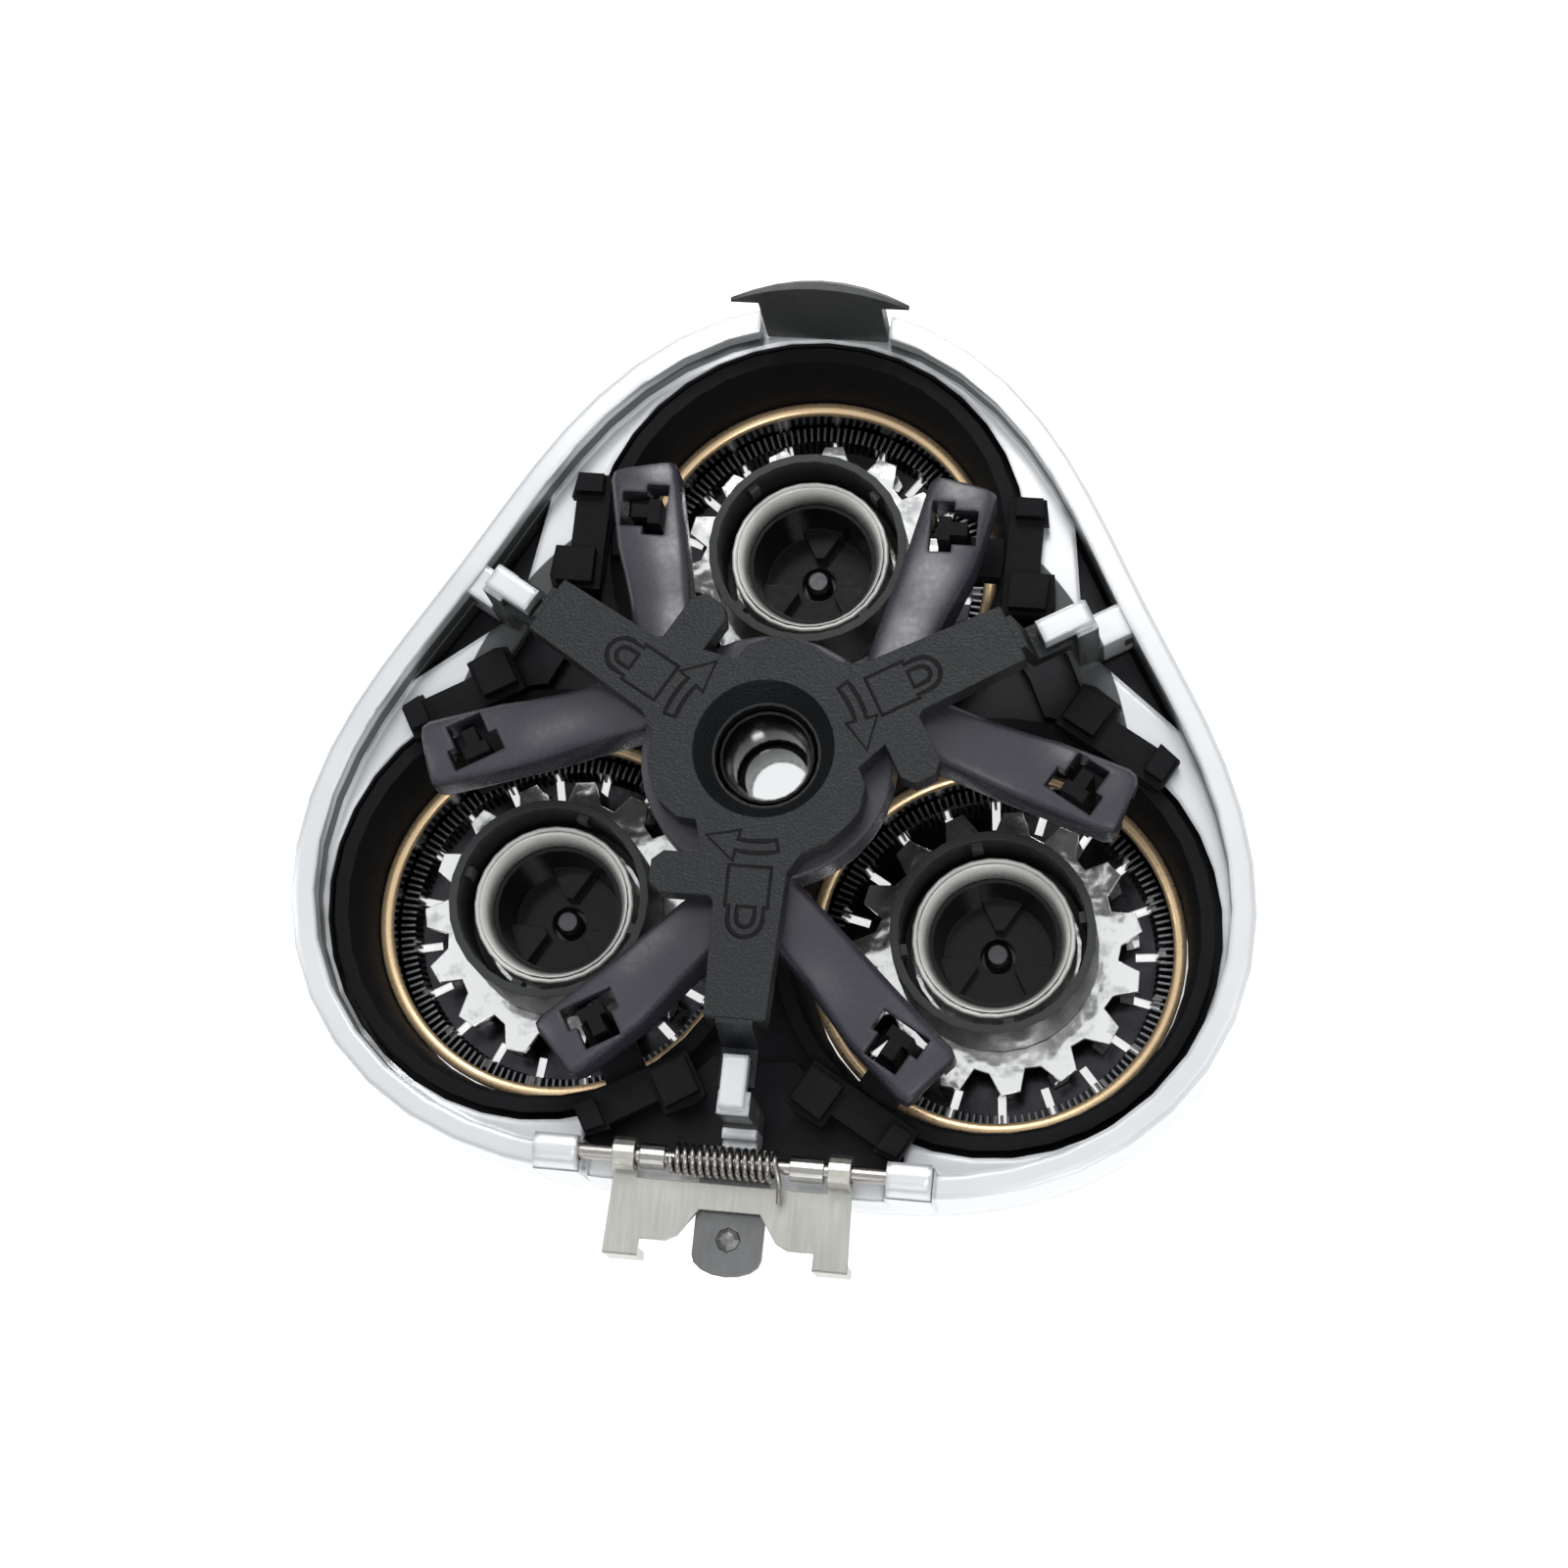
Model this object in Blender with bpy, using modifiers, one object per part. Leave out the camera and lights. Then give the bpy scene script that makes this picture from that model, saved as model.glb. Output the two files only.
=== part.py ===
"""Three-head rotary shaver head, lying on its shaving caps with its back towards +Z.

Units are metres. The head's own axis is vertical. The caps rest on z = 0, the top unit points to +Y
and the hinge lies at -Y. Every piece is built round the head axis and then carried by one empty, which
moves the box of the whole object onto the origin.
"""

import math

import bmesh
import bpy
from mathutils import Matrix, Vector

# Layout of the three shaving units and of the three lock arms between them
UNIT_ANGLES = {"top": 90.0, "left": 210.0, "right": 330.0}
LOCK_ANGLES = (30.0, 150.0, 270.0)
UNIT_PITCH_RADIUS = 0.01833
CLEARANCE = 0.0003

# Outline of the housing: a mean radius and a three-lobed wave
OUTLINE_RADIUS = 0.03257
OUTLINE_WAVE = 0.00374
OUTLINE_POINTS = 60

# Outer shell
RIM_Z = 0.0134
SHELL_LOW_Z = 0.0029
RIM_WIDTH = 0.00175
SHELL_WALL = 0.0013
SHELL_BULGE = 0.00025
SHELL_TURN_IN = 0.0011
LEDGE_TOP_Z = 0.0107
LEDGE_THICKNESS = 0.0010
LEDGE_OPENING_RADIUS = 0.0160
LEDGE_INNER_REACH = 0.0226
WINDOW_APEX_RADIUS = 0.0243
WINDOW_APEX_HALF = 0.0012
WINDOW_WIDE_RADIUS = 0.0272
WINDOW_WIDE_HALF = 0.0096
HINGE_WINDOW_HALF = 0.0112
RIB_WIDTH = 0.0024
HOOK_TOP_Z = 0.01866
HOOK_THICKNESS = 0.0013
HOOK_WIDTH = 0.0017
HOOK_INNER_RADIUS = 0.0207
HOOK_POST_INNER = 0.0230
HOOK_POST_OUTER = 0.0246
HOOK_POST_WIDTH = 0.0022

# Front trim, the face between the caps
TRIM_FRONT_Z = 0.0013
TRIM_TURN_IN = 0.0030
TRIM_OPENING_RADIUS = 0.01515

# Chassis plate inside the shell
CHASSIS_LOW_Z = 0.0052
CHASSIS_TOP_Z = 0.0082
CHASSIS_OPENING_RADIUS = 0.0152
CHASSIS_BORE_RADIUS = 0.00235
CORNER_TOP_Z = 0.0093
CORNER_OPENING_RADIUS = 0.0164
CORNER_INNER_REACH = 0.0195

# Coupling tab at the top
TAB_TOP_Z = 0.0200
TAB_WING_Z = 0.0171
TAB_FOOT_Z = 0.0111
TAB_WING_HALF = 0.0065
TAB_NECK_HALF = 0.0045
TAB_SLOPE = 0.0026
TAB_EDGE = 0.0002
TAB_TAPER = 0.85
TAB_NOTCH_HALF = 0.0048

# Shaving unit: holder, ring, cap
HOLDER_FLANGE_RADIUS = 0.0155
HOLDER_FLANGE_TOP_Z = 0.0109
HOLDER_FLANGE_THICKNESS = 0.0010
HOLDER_BODY_RADIUS = 0.01475
HOLDER_MOUTH_RADIUS = 0.0143
HOLDER_BORE_RADIUS = 0.0137
HOLDER_LOW_Z = 0.0006
HOLDER_STEP_Z = 0.0046
CAP_RADIUS = 0.0134
CAP_HEIGHT = 0.0042
CAP_WALL = 0.0005
CAP_FACE_RADIUS = 0.0124
CAP_GROOVE_RADIUS = 0.0092
CAP_GROOVE_HALF = 0.0004
CAP_RECESS_RADIUS = 0.0060
CAP_RECESS_DEPTH = 0.0006
CAP_SLOTS = 20
CAP_SLOT_WIDTH = 0.0006
CAP_SLOT_INNER = 0.0099
CAP_SLOT_OUTER = 0.0121
RING_WIDTH = 0.0007
RING_HEIGHT = 0.0006
RING_CROWN = 0.0001
EAR_REACH = 0.0184
EAR_WAIST = 0.0171
EAR_STEP = -0.0015
EAR_RECESS_END = 0.0023
EAR_INNER_END = -0.0047
EAR_OUTER_END = 0.0041
EAR_LOW_Z = 0.0112
EAR_TOP_Z = 0.0121
EAR_BLOCK_Z = 0.0130
POST_OFFSET = 0.01086
POST_BAR_WIDTH = 0.0009
POST_BAR_LENGTH = 0.0018
POST_STEM_WIDTH = 0.0012
POST_STEM_LENGTH = 0.0010
POST_TOP_Z = 0.0164
BRIDGE_LOW_Z = 0.0092
BRIDGE_HALF = 0.0015

# Cutter
CUTTER_TEETH = 15
TOOTH_TIP_RADIUS = 0.0105
TOOTH_ROOT_RADIUS = 0.0087
BLADE_LOW_Z = 0.0035
BLADE_THICKNESS = 0.0005
TOOTH_WIDTH = 0.0011
TOOTH_LENGTH = 0.0010
COLLAR_RADIUS = 0.0058
COLLAR_WALL = 0.00035
COLLAR_TOP_Z = 0.0086
COLLAR_TAPER = 0.00025
HUB_RADIUS = 0.00735
HUB_WALL = 0.0008
HUB_TOP_Z = 0.01055
HUB_BUMPS = 4
BOWL_WALL = 0.0005
BOWL_TOP_Z = 0.0068
BOWL_FLOOR_Z = 0.0021
BOWL_LOW_Z = 0.0015
VANE_POINT = 0.0003
VANE_HALF = 0.0017
VANE_HEIGHT = 0.0012
BEARING_PIN_RADIUS = 0.0010
BEARING_PIN_TOP_Z = 0.0029

# Retaining frame
FRAME_HUB_RADIUS = 0.0088
FRAME_HUB_LOW_Z = 0.0162
FRAME_HUB_TOP_Z = 0.0189
FRAME_BORE_RADIUS = 0.0046
ARM_ROOT_SIDE = 0.0081
ARM_ROOT_BACK = 0.0128
ARM_END = 0.0036
ARM_WIDTH_ROOT = 0.0043
ARM_WIDTH_TIP = 0.0050
ARM_ROOT_Z = 0.0185
ARM_SLOT_Z = 0.0167
ARM_SKIRT_Z = 0.0138
ARM_SKIN = 0.0011
ARM_CORNER = 0.0008
SLOT_BAR_LENGTH = 0.0038
SLOT_BAR_WIDTH = 0.0016
SLOT_STEM_LENGTH = 0.0026
SLOT_STEM_WIDTH = 0.0019
SLOT_DEPTH = 0.0030

# Lock
LOCK_TOP_Z = 0.0213
LOCK_THICKNESS = 0.0020
LOCK_LOBE_RADIUS = 0.0080
LOCK_ARM_HALF = 0.0023
LOCK_TIP_HALF = 0.00125
LOCK_FLAT_REACH = 0.0187
LOCK_DROP_REACH = 0.0196
LOCK_TIP_REACH = 0.0226
LOCK_TIP_TOP_Z = 0.01705
LOCK_TIP_THICKNESS = 0.0012
FINGER_NEAR = 0.0076
FINGER_FAR = 0.0105
FINGER_REACH = 0.0068
FUNNEL_RADIUS = 0.0049
SLEEVE_WALL = 0.0007
SLEEVE_LIP = 0.0006
SLEEVE_LOW_Z = 0.0152
BUSH_RADIUS = 0.0033
BUSH_BORE_RADIUS = 0.00265
BUSH_TOP_Z = 0.0190
BUSH_TAPER = 0.0013
BUSH_WAIST_Z = 0.0121
BUSH_STEM_RADIUS = 0.00205
BUSH_STEM_BORE = 0.0016
BUSH_LOW_Z = 0.0055

# Hinge
HINGE_Y = 0.0275
HINGE_Z = 0.0148
PIN_RADIUS = 0.00055
PIN_HALF = 0.0125
LUG_INNER = 0.0105
LUG_OUTER = 0.0137
LUG_RADIUS = 0.0015
HINGE_RECESS_Z = 0.0124
HINGE_RECESS_HALF = 0.0103
PLATE_THICKNESS = 0.0005
PLATE_HALF = 0.0084
PLATE_NEAR_Y = 0.0289
PLATE_EDGE_Y = 0.0330
PLATE_FOOT_Y = 0.0341
PLATE_FOOT_INNER = 0.0060
PLATE_FOOT_DROP = 0.0032
PLATE_NOTCH_Y = 0.0307
PLATE_NOTCH_HALF = 0.0021
PLATE_NOTCH_FOOT = 0.0038
KNUCKLE_RADIUS = 0.0012
KNUCKLE_BORE = 0.00070
KNUCKLE_INNER = 0.0066
KNUCKLE_OUTER = 0.0082
SLEEVE_RADIUS = 0.0009
SPRING_RADIUS = 0.00095
SPRING_WIRE = 0.0002
SPRING_TURNS = 11
SPRING_LEFT = -0.0042
SPRING_RIGHT = 0.0030
TONGUE_Z = 0.01265
TONGUE_THICKNESS = 0.0005
TONGUE_HALF = 0.0024
TONGUE_REACH_Y = 0.0350
TONGUE_LENGTH = 0.0088
TONGUE_BUMP_SETBACK = 0.0025
TONGUE_BUMP_RADIUS = 0.00095

CIRCLE = 36
SMALL_CIRCLE = 16

# The object's box is centred on the origin, between the shell's top and the tongue's end
TOP_REACH = OUTLINE_RADIUS + OUTLINE_WAVE + SHELL_BULGE
AXIS_Y = (TONGUE_REACH_Y - TOP_REACH) / 2

COLOURS = {
    "silver": ((0.78, 0.79, 0.80), 0.22, 0.9),
    "dark_frame": ((0.035, 0.036, 0.036), 0.45, 0.0),
    "grey_frame": ((0.075, 0.072, 0.085), 0.35, 0.0),
    "matte_black": ((0.022, 0.023, 0.025), 0.6, 0.0),
    "gloss_black": ((0.008, 0.008, 0.010), 0.2, 0.0),
    "steel": ((0.55, 0.55, 0.56), 0.18, 1.0),
    "gold": ((0.80, 0.58, 0.33), 0.2, 1.0),
    "nickel": ((0.62, 0.61, 0.56), 0.35, 1.0),
    "pin_grey": ((0.16, 0.16, 0.17), 0.4, 0.3),
}


def clear_scene():
    for obj in list(bpy.data.objects):
        bpy.data.objects.remove(obj, do_unlink=True)


def material(name):
    """The Principled material of that name, made once."""
    found = bpy.data.materials.get(name)
    if found:
        return found
    colour, roughness, metallic = COLOURS[name]
    made = bpy.data.materials.new(name)
    made.use_nodes = True
    shader = made.node_tree.nodes["Principled BSDF"]
    shader.inputs["Base Color"].default_value = (*colour, 1.0)
    shader.inputs["Roughness"].default_value = roughness
    shader.inputs["Metallic"].default_value = metallic
    return made


def linked(name, data):
    obj = bpy.data.objects.new(name, data)
    bpy.context.scene.collection.objects.link(obj)
    return obj


def baked(obj):
    """The object's evaluated shape as a plain mesh in world space, with the object removed."""
    bpy.context.view_layer.update()
    graph = bpy.context.evaluated_depsgraph_get()
    mesh = bpy.data.meshes.new_from_object(obj.evaluated_get(graph))
    mesh.transform(obj.matrix_world)
    bpy.data.objects.remove(obj, do_unlink=True)
    shape = bmesh.new()
    shape.from_mesh(mesh)
    bmesh.ops.remove_doubles(shape, verts=shape.verts, dist=1e-7)
    bmesh.ops.recalc_face_normals(shape, faces=shape.faces)
    shape.to_mesh(mesh)
    shape.free()
    return linked("shape", mesh)


def from_bmesh(shape):
    mesh = bpy.data.meshes.new("shape")
    bmesh.ops.recalc_face_normals(shape, faces=shape.faces)
    shape.to_mesh(mesh)
    shape.free()
    return linked("shape", mesh)


def box(low, high):
    shape = bmesh.new()
    bmesh.ops.create_cube(shape, size=1.0)
    size = [b - a for a, b in zip(low, high)]
    centre = [(a + b) / 2 for a, b in zip(low, high)]
    bmesh.ops.scale(shape, vec=size, verts=shape.verts)
    bmesh.ops.translate(shape, vec=centre, verts=shape.verts)
    return from_bmesh(shape)


def cylinder(radius, low, high, centre=(0.0, 0.0), segments=CIRCLE):
    shape = bmesh.new()
    bmesh.ops.create_cone(
        shape, cap_ends=True, segments=segments, radius1=radius, radius2=radius, depth=high - low
    )
    bmesh.ops.translate(shape, vec=(*centre, (low + high) / 2), verts=shape.verts)
    return from_bmesh(shape)


def plate(loops, low, high):
    """A flat outline, with any holes in it as further loops, as thick as from low to high."""
    curve = bpy.data.curves.new("outline", "CURVE")
    curve.dimensions = "2D"
    curve.fill_mode = "BOTH"
    curve.extrude = (high - low) / 2
    for loop in loops:
        spline = curve.splines.new("POLY")
        spline.points.add(len(loop) - 1)
        for point, (x, y) in zip(spline.points, loop):
            point.co = (x, y, 0.0, 1.0)
        spline.use_cyclic_u = True
    obj = linked("outline", curve)
    obj.location.z = (low + high) / 2
    return baked(obj)


def turned(profile, steps=CIRCLE):
    """A profile of (radius, height) points, running down its outer side, turned about Z."""
    mesh = bpy.data.meshes.new("profile")
    ends = [(i, (i + 1) % len(profile)) for i in range(len(profile))]
    edges = [(i, j) for i, j in ends if profile[i][0] > 0.0 or profile[j][0] > 0.0]
    mesh.from_pydata([(r, 0.0, z) for r, z in profile], edges, [])
    obj = linked("profile", mesh)
    screw = obj.modifiers.new("turn", "SCREW")
    screw.steps = steps
    screw.render_steps = steps
    screw.use_merge_vertices = True
    screw.merge_threshold = 1e-6
    return baked(obj)


def circle(radius, centre=(0.0, 0.0), count=CIRCLE):
    turn = 2 * math.pi / count
    return [
        (centre[0] + radius * math.cos(i * turn), centre[1] + radius * math.sin(i * turn))
        for i in range(count)
    ]


def outline(inset, count=OUTLINE_POINTS):
    """The housing's three-lobed outline, moved inwards by inset."""
    points = []
    for i in range(count):
        angle = 2 * math.pi * i / count
        radius = OUTLINE_RADIUS + OUTLINE_WAVE * math.cos(3 * (angle - math.pi / 2)) - inset
        points.append((radius * math.cos(angle), radius * math.sin(angle)))
    return points


def swept(profile):
    """A closed profile of (inset, height) points carried round the housing's outline."""
    shape = bmesh.new()
    rings = [[shape.verts.new((x, y, z)) for x, y in outline(inset)] for inset, z in profile]
    for ring, below in zip(rings, rings[1:] + rings[:1]):
        for i in range(OUTLINE_POINTS):
            j = (i + 1) % OUTLINE_POINTS
            shape.faces.new((ring[i], ring[j], below[j], below[i]))
    return from_bmesh(shape)


def lofted(sections):
    """A solid through closed sections that all have as many points, with flat ends."""
    shape = bmesh.new()
    rings = [[shape.verts.new(point) for point in section] for section in sections]
    for ring, after in zip(rings, rings[1:]):
        for i in range(len(ring)):
            j = (i + 1) % len(ring)
            shape.faces.new((ring[i], ring[j], after[j], after[i]))
    shape.faces.new(rings[0][::-1])
    shape.faces.new(rings[-1])
    return from_bmesh(shape)


def placed(obj, matrix):
    obj.data.transform(matrix)
    return obj


def turned_by(degrees):
    return Matrix.Rotation(math.radians(degrees), 4, "Z")


def combined(base, joins=(), cuts=()):
    """The base with every join added and then every cut taken away."""
    tools = [(tool, "UNION") for tool in joins] + [(tool, "DIFFERENCE") for tool in cuts]
    for number, (tool, operation) in enumerate(tools):
        modifier = base.modifiers.new(f"{operation} {number}", "BOOLEAN")
        modifier.operation = operation
        modifier.object = tool
    solid = baked(base)
    for tool, _ in tools:
        bpy.data.objects.remove(tool, do_unlink=True)
    return solid


def finish(name, obj, colour, parts, carrier):
    """Names a solid, gives it its material and hangs it on the carrier, with its origin there."""
    mesh = obj.data
    bpy.data.objects.remove(obj, do_unlink=True)
    return instance(name, mesh, colour, parts, carrier)


def instance(name, mesh, colour, parts, carrier):
    mesh.materials.clear()
    mesh.materials.append(material(colour))
    mesh.shade_smooth()
    mesh.set_sharp_from_angle(angle=math.radians(32))
    node = bpy.data.objects.new(name, mesh)
    parts.objects.link(node)
    node.parent = carrier
    return node


def empty(name, location, angle, parent, parts):
    made = bpy.data.objects.new(name, None)
    made.empty_display_size = 0.004
    parts.objects.link(made)
    made.location = location
    made.rotation_euler.z = math.radians(angle)
    made.parent = parent
    return made


def unit_centre(angle):
    turn = math.radians(angle)
    return (UNIT_PITCH_RADIUS * math.cos(turn), UNIT_PITCH_RADIUS * math.sin(turn))


def unit_circles(radius):
    return [circle(radius, unit_centre(angle)) for angle in UNIT_ANGLES.values()]


def unit_cylinders(radius, low, high):
    return [cylinder(radius, low, high, unit_centre(angle)) for angle in UNIT_ANGLES.values()]


def corner_window(angle, low, high):
    """The opening in the ledge beside a hook, from its rib out to the wall."""
    points = [
        (WINDOW_APEX_RADIUS, -WINDOW_APEX_HALF),
        (WINDOW_WIDE_RADIUS + RIM_WIDTH / 4, -WINDOW_WIDE_HALF),
        (WINDOW_WIDE_RADIUS + RIM_WIDTH / 4, WINDOW_WIDE_HALF),
        (WINDOW_APEX_RADIUS, WINDOW_APEX_HALF),
    ]
    return placed(plate([points], low, high), turned_by(angle))


def hook(angle):
    """A post with a head that reaches inwards over a lock arm, and a rib from it to the wall."""
    wall = OUTLINE_RADIUS - OUTLINE_WAVE - RIM_WIDTH / 2
    ledge_low = LEDGE_TOP_Z - LEDGE_THICKNESS
    head_low = HOOK_TOP_Z - HOOK_THICKNESS
    half, post_half, rib_half = HOOK_WIDTH / 2, HOOK_POST_WIDTH / 2, RIB_WIDTH / 2
    post = box((HOOK_POST_INNER, -post_half, ledge_low), (HOOK_POST_OUTER, post_half, head_low + 0.0002))
    head = box((HOOK_INNER_RADIUS, -half, head_low), (HOOK_POST_OUTER - 0.0003, half, HOOK_TOP_Z))
    rib = box((HOOK_POST_INNER + 0.0004, -rib_half, ledge_low), (wall, rib_half, RIM_Z - 0.0002))
    return placed(combined(post, joins=[head, rib]), turned_by(angle))


def along_x(radius, low, high, y, z, segments=SMALL_CIRCLE):
    """A cylinder along X from low to high."""
    rod = cylinder(radius, low, high, segments=segments)
    turn = Matrix.Rotation(math.pi / 2, 4, "Y")
    return placed(rod, Matrix.Translation((0.0, y, z)) @ turn)


def hinge_lug(side):
    """The rounded block on the rim that holds one end of the hinge pin."""
    low, high = sorted((side * LUG_INNER, side * LUG_OUTER))
    near, far = HINGE_Y - LUG_RADIUS + 0.0006, HINGE_Y + LUG_RADIUS
    block = box((low, -far, RIM_Z - 0.0040), (high, -near, HINGE_Z))
    top = along_x(LUG_RADIUS - 0.0001, low + 0.0001, high - 0.0001, -HINGE_Y, HINGE_Z)
    spare = box((low - 0.001, -near, HINGE_Z - 0.003), (high + 0.001, -near + 0.003, HINGE_Z + 0.003))
    return combined(block, joins=[top], cuts=[spare])


def make_shell():
    inner = RIM_WIDTH
    bevel = 0.0002
    wall = swept([
        (bevel, RIM_Z),
        (0.0, RIM_Z - bevel),
        (-SHELL_BULGE, (RIM_Z + LEDGE_TOP_Z) / 2 - 0.0030),
        (-SHELL_BULGE * 0.4, SHELL_LOW_Z + 0.0026),
        (SHELL_TURN_IN * 0.3, SHELL_LOW_Z + 0.0010),
        (SHELL_TURN_IN, SHELL_LOW_Z),
        (SHELL_TURN_IN + SHELL_WALL * 0.8, SHELL_LOW_Z),
        (SHELL_WALL, LEDGE_TOP_Z - 0.0020),
        (inner, LEDGE_TOP_Z - 0.0008),
        (inner, RIM_Z),
    ])
    ledge_low = LEDGE_TOP_Z - LEDGE_THICKNESS
    ledge = plate([outline(RIM_WIDTH * 0.6)], ledge_low, LEDGE_TOP_Z)
    cuts = unit_cylinders(LEDGE_OPENING_RADIUS, ledge_low - 0.001, LEDGE_TOP_Z + 0.001)
    cuts.append(cylinder(LEDGE_INNER_REACH, ledge_low - 0.001, LEDGE_TOP_Z + 0.001))
    cuts += [corner_window(a, ledge_low - 0.001, LEDGE_TOP_Z + 0.001) for a in LOCK_ANGLES[:2]]
    cuts.append(box((-HINGE_WINDOW_HALF, -WINDOW_WIDE_RADIUS - RIM_WIDTH / 4, ledge_low - 0.001),
                    (HINGE_WINDOW_HALF, -UNIT_PITCH_RADIUS, LEDGE_TOP_Z + 0.001)))
    ledge = combined(ledge, cuts=cuts)
    return combined(
        wall,
        joins=[ledge, *[hook(a) for a in LOCK_ANGLES], hinge_lug(-1), hinge_lug(1)],
        cuts=[
            box((-HINGE_RECESS_HALF, -HINGE_Y - 0.004, HINGE_RECESS_Z),
                (HINGE_RECESS_HALF, -HINGE_Y + 0.0019, HINGE_Z + 0.004)),
            along_x(PIN_RADIUS + 0.0001, -PIN_HALF - 0.0002, PIN_HALF + 0.0002, -HINGE_Y, HINGE_Z),
            box((-TAB_NOTCH_HALF, UNIT_PITCH_RADIUS + LEDGE_OPENING_RADIUS - 0.0006, TAB_FOOT_Z - CLEARANCE),
                (TAB_NOTCH_HALF, TOP_REACH + 0.001, RIM_Z + 0.001)),
        ],
    )


def make_trim():
    top = SHELL_LOW_Z - CLEARANCE
    face = lofted([
        [(x, y, z) for x, y in outline(inset)]
        for inset, z in [
            (TRIM_TURN_IN, TRIM_FRONT_Z),
            ((TRIM_TURN_IN + SHELL_TURN_IN) / 2 - 0.0002, (TRIM_FRONT_Z + top) / 2 - 0.0002),
            (SHELL_TURN_IN + 0.00015, top),
        ]
    ])
    return combined(face, cuts=unit_cylinders(TRIM_OPENING_RADIUS, TRIM_FRONT_Z - 0.001, top + 0.001))


def make_chassis():
    inset = SHELL_WALL + 0.0005 + CLEARANCE
    holes = [*unit_circles(CHASSIS_OPENING_RADIUS), circle(CHASSIS_BORE_RADIUS, count=SMALL_CIRCLE)]
    web = plate([outline(inset), *holes], CHASSIS_LOW_Z, CHASSIS_TOP_Z)
    corners = combined(
        plate([outline(RIM_WIDTH + CLEARANCE)], CHASSIS_TOP_Z - 0.0008, CORNER_TOP_Z),
        cuts=[
            *unit_cylinders(CORNER_OPENING_RADIUS, CHASSIS_TOP_Z - 0.002, CORNER_TOP_Z + 0.001),
            cylinder(CORNER_INNER_REACH, CHASSIS_TOP_Z - 0.002, CORNER_TOP_Z + 0.001),
        ],
    )
    return combined(web, joins=[corners])


def make_tab():
    """The dark hook on the rim: a neck and two wings that taper to their tips, with a sloping top."""
    inner_y = UNIT_PITCH_RADIUS + LEDGE_OPENING_RADIUS + 0.0001
    outer_y = TOP_REACH - SHELL_BULGE
    sections = []
    for y, drop in ((inner_y, 0.0), ((inner_y + outer_y) / 2, TAB_SLOPE * 0.3), (outer_y, TAB_SLOPE)):
        height = TAB_TOP_Z - drop - TAB_WING_Z - TAB_EDGE
        section = [
            (-TAB_NECK_HALF, TAB_FOOT_Z),
            (TAB_NECK_HALF, TAB_FOOT_Z),
            (TAB_NECK_HALF, TAB_WING_Z),
            (TAB_WING_HALF, TAB_WING_Z),
        ]
        for i in range(9):
            share = 1 - i / 4
            section.append((TAB_WING_HALF * share, TAB_WING_Z + TAB_EDGE + height * (1 - share**2)))
        section += [(-TAB_WING_HALF, TAB_WING_Z), (-TAB_NECK_HALF, TAB_WING_Z)]
        depth = y - inner_y
        sections.append([
            (x, inner_y + depth * (1 - TAB_TAPER * (x / TAB_WING_HALF) ** 2), z) for x, z in section
        ])
    return lofted(sections)


def make_ear(wall, side):
    """A stepped plate outside the flange, over the ledge, with a raised block at each end."""
    points = [
        (wall, EAR_INNER_END),
        (EAR_REACH - 0.0003, EAR_INNER_END),
        (EAR_REACH, EAR_INNER_END + 0.0009),
        (EAR_REACH - 0.0002, EAR_STEP),
        (EAR_WAIST, EAR_STEP),
        (EAR_WAIST, EAR_RECESS_END),
        (EAR_WAIST + 0.0004, EAR_RECESS_END),
        (EAR_WAIST + 0.0001, EAR_OUTER_END),
        (wall, EAR_OUTER_END),
    ]
    inner = [
        (wall + 0.0005, EAR_INNER_END + 0.0003),
        (EAR_REACH - 0.0006, EAR_INNER_END + 0.0003),
        (EAR_REACH - 0.0005, EAR_STEP - 0.0003),
        (wall + 0.0005, EAR_STEP - 0.0003),
    ]
    outer = [
        (wall + 0.0005, EAR_RECESS_END + 0.0002),
        (EAR_WAIST + 0.0001, EAR_RECESS_END + 0.0002),
        (EAR_WAIST - 0.0001, EAR_OUTER_END - 0.0002),
        (wall + 0.0005, EAR_OUTER_END - 0.0002),
    ]
    solids = []
    for loop, low, high in (
        (points, EAR_LOW_Z, EAR_TOP_Z),
        (inner, EAR_TOP_Z - 0.0004, EAR_BLOCK_Z),
        (outer, EAR_TOP_Z - 0.0004, EAR_BLOCK_Z),
    ):
        solids.append(plate([[(x, side * y) for x, y in loop]], low, high))
    return combined(solids[0], joins=solids[1:])


def make_post():
    """A T-shaped post that slides in the slot of a frame arm as the unit rocks."""
    bar, stem = POST_BAR_LENGTH / 2, POST_STEM_LENGTH / 2
    points = [
        (POST_OFFSET - POST_BAR_WIDTH, -bar),
        (POST_OFFSET, -bar),
        (POST_OFFSET, -stem),
        (POST_OFFSET + POST_STEM_WIDTH, -stem),
        (POST_OFFSET + POST_STEM_WIDTH, stem),
        (POST_OFFSET, stem),
        (POST_OFFSET, bar),
        (POST_OFFSET - POST_BAR_WIDTH, bar),
    ]
    return plate([points], BRIDGE_LOW_Z + 0.0005, POST_TOP_Z)


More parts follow.
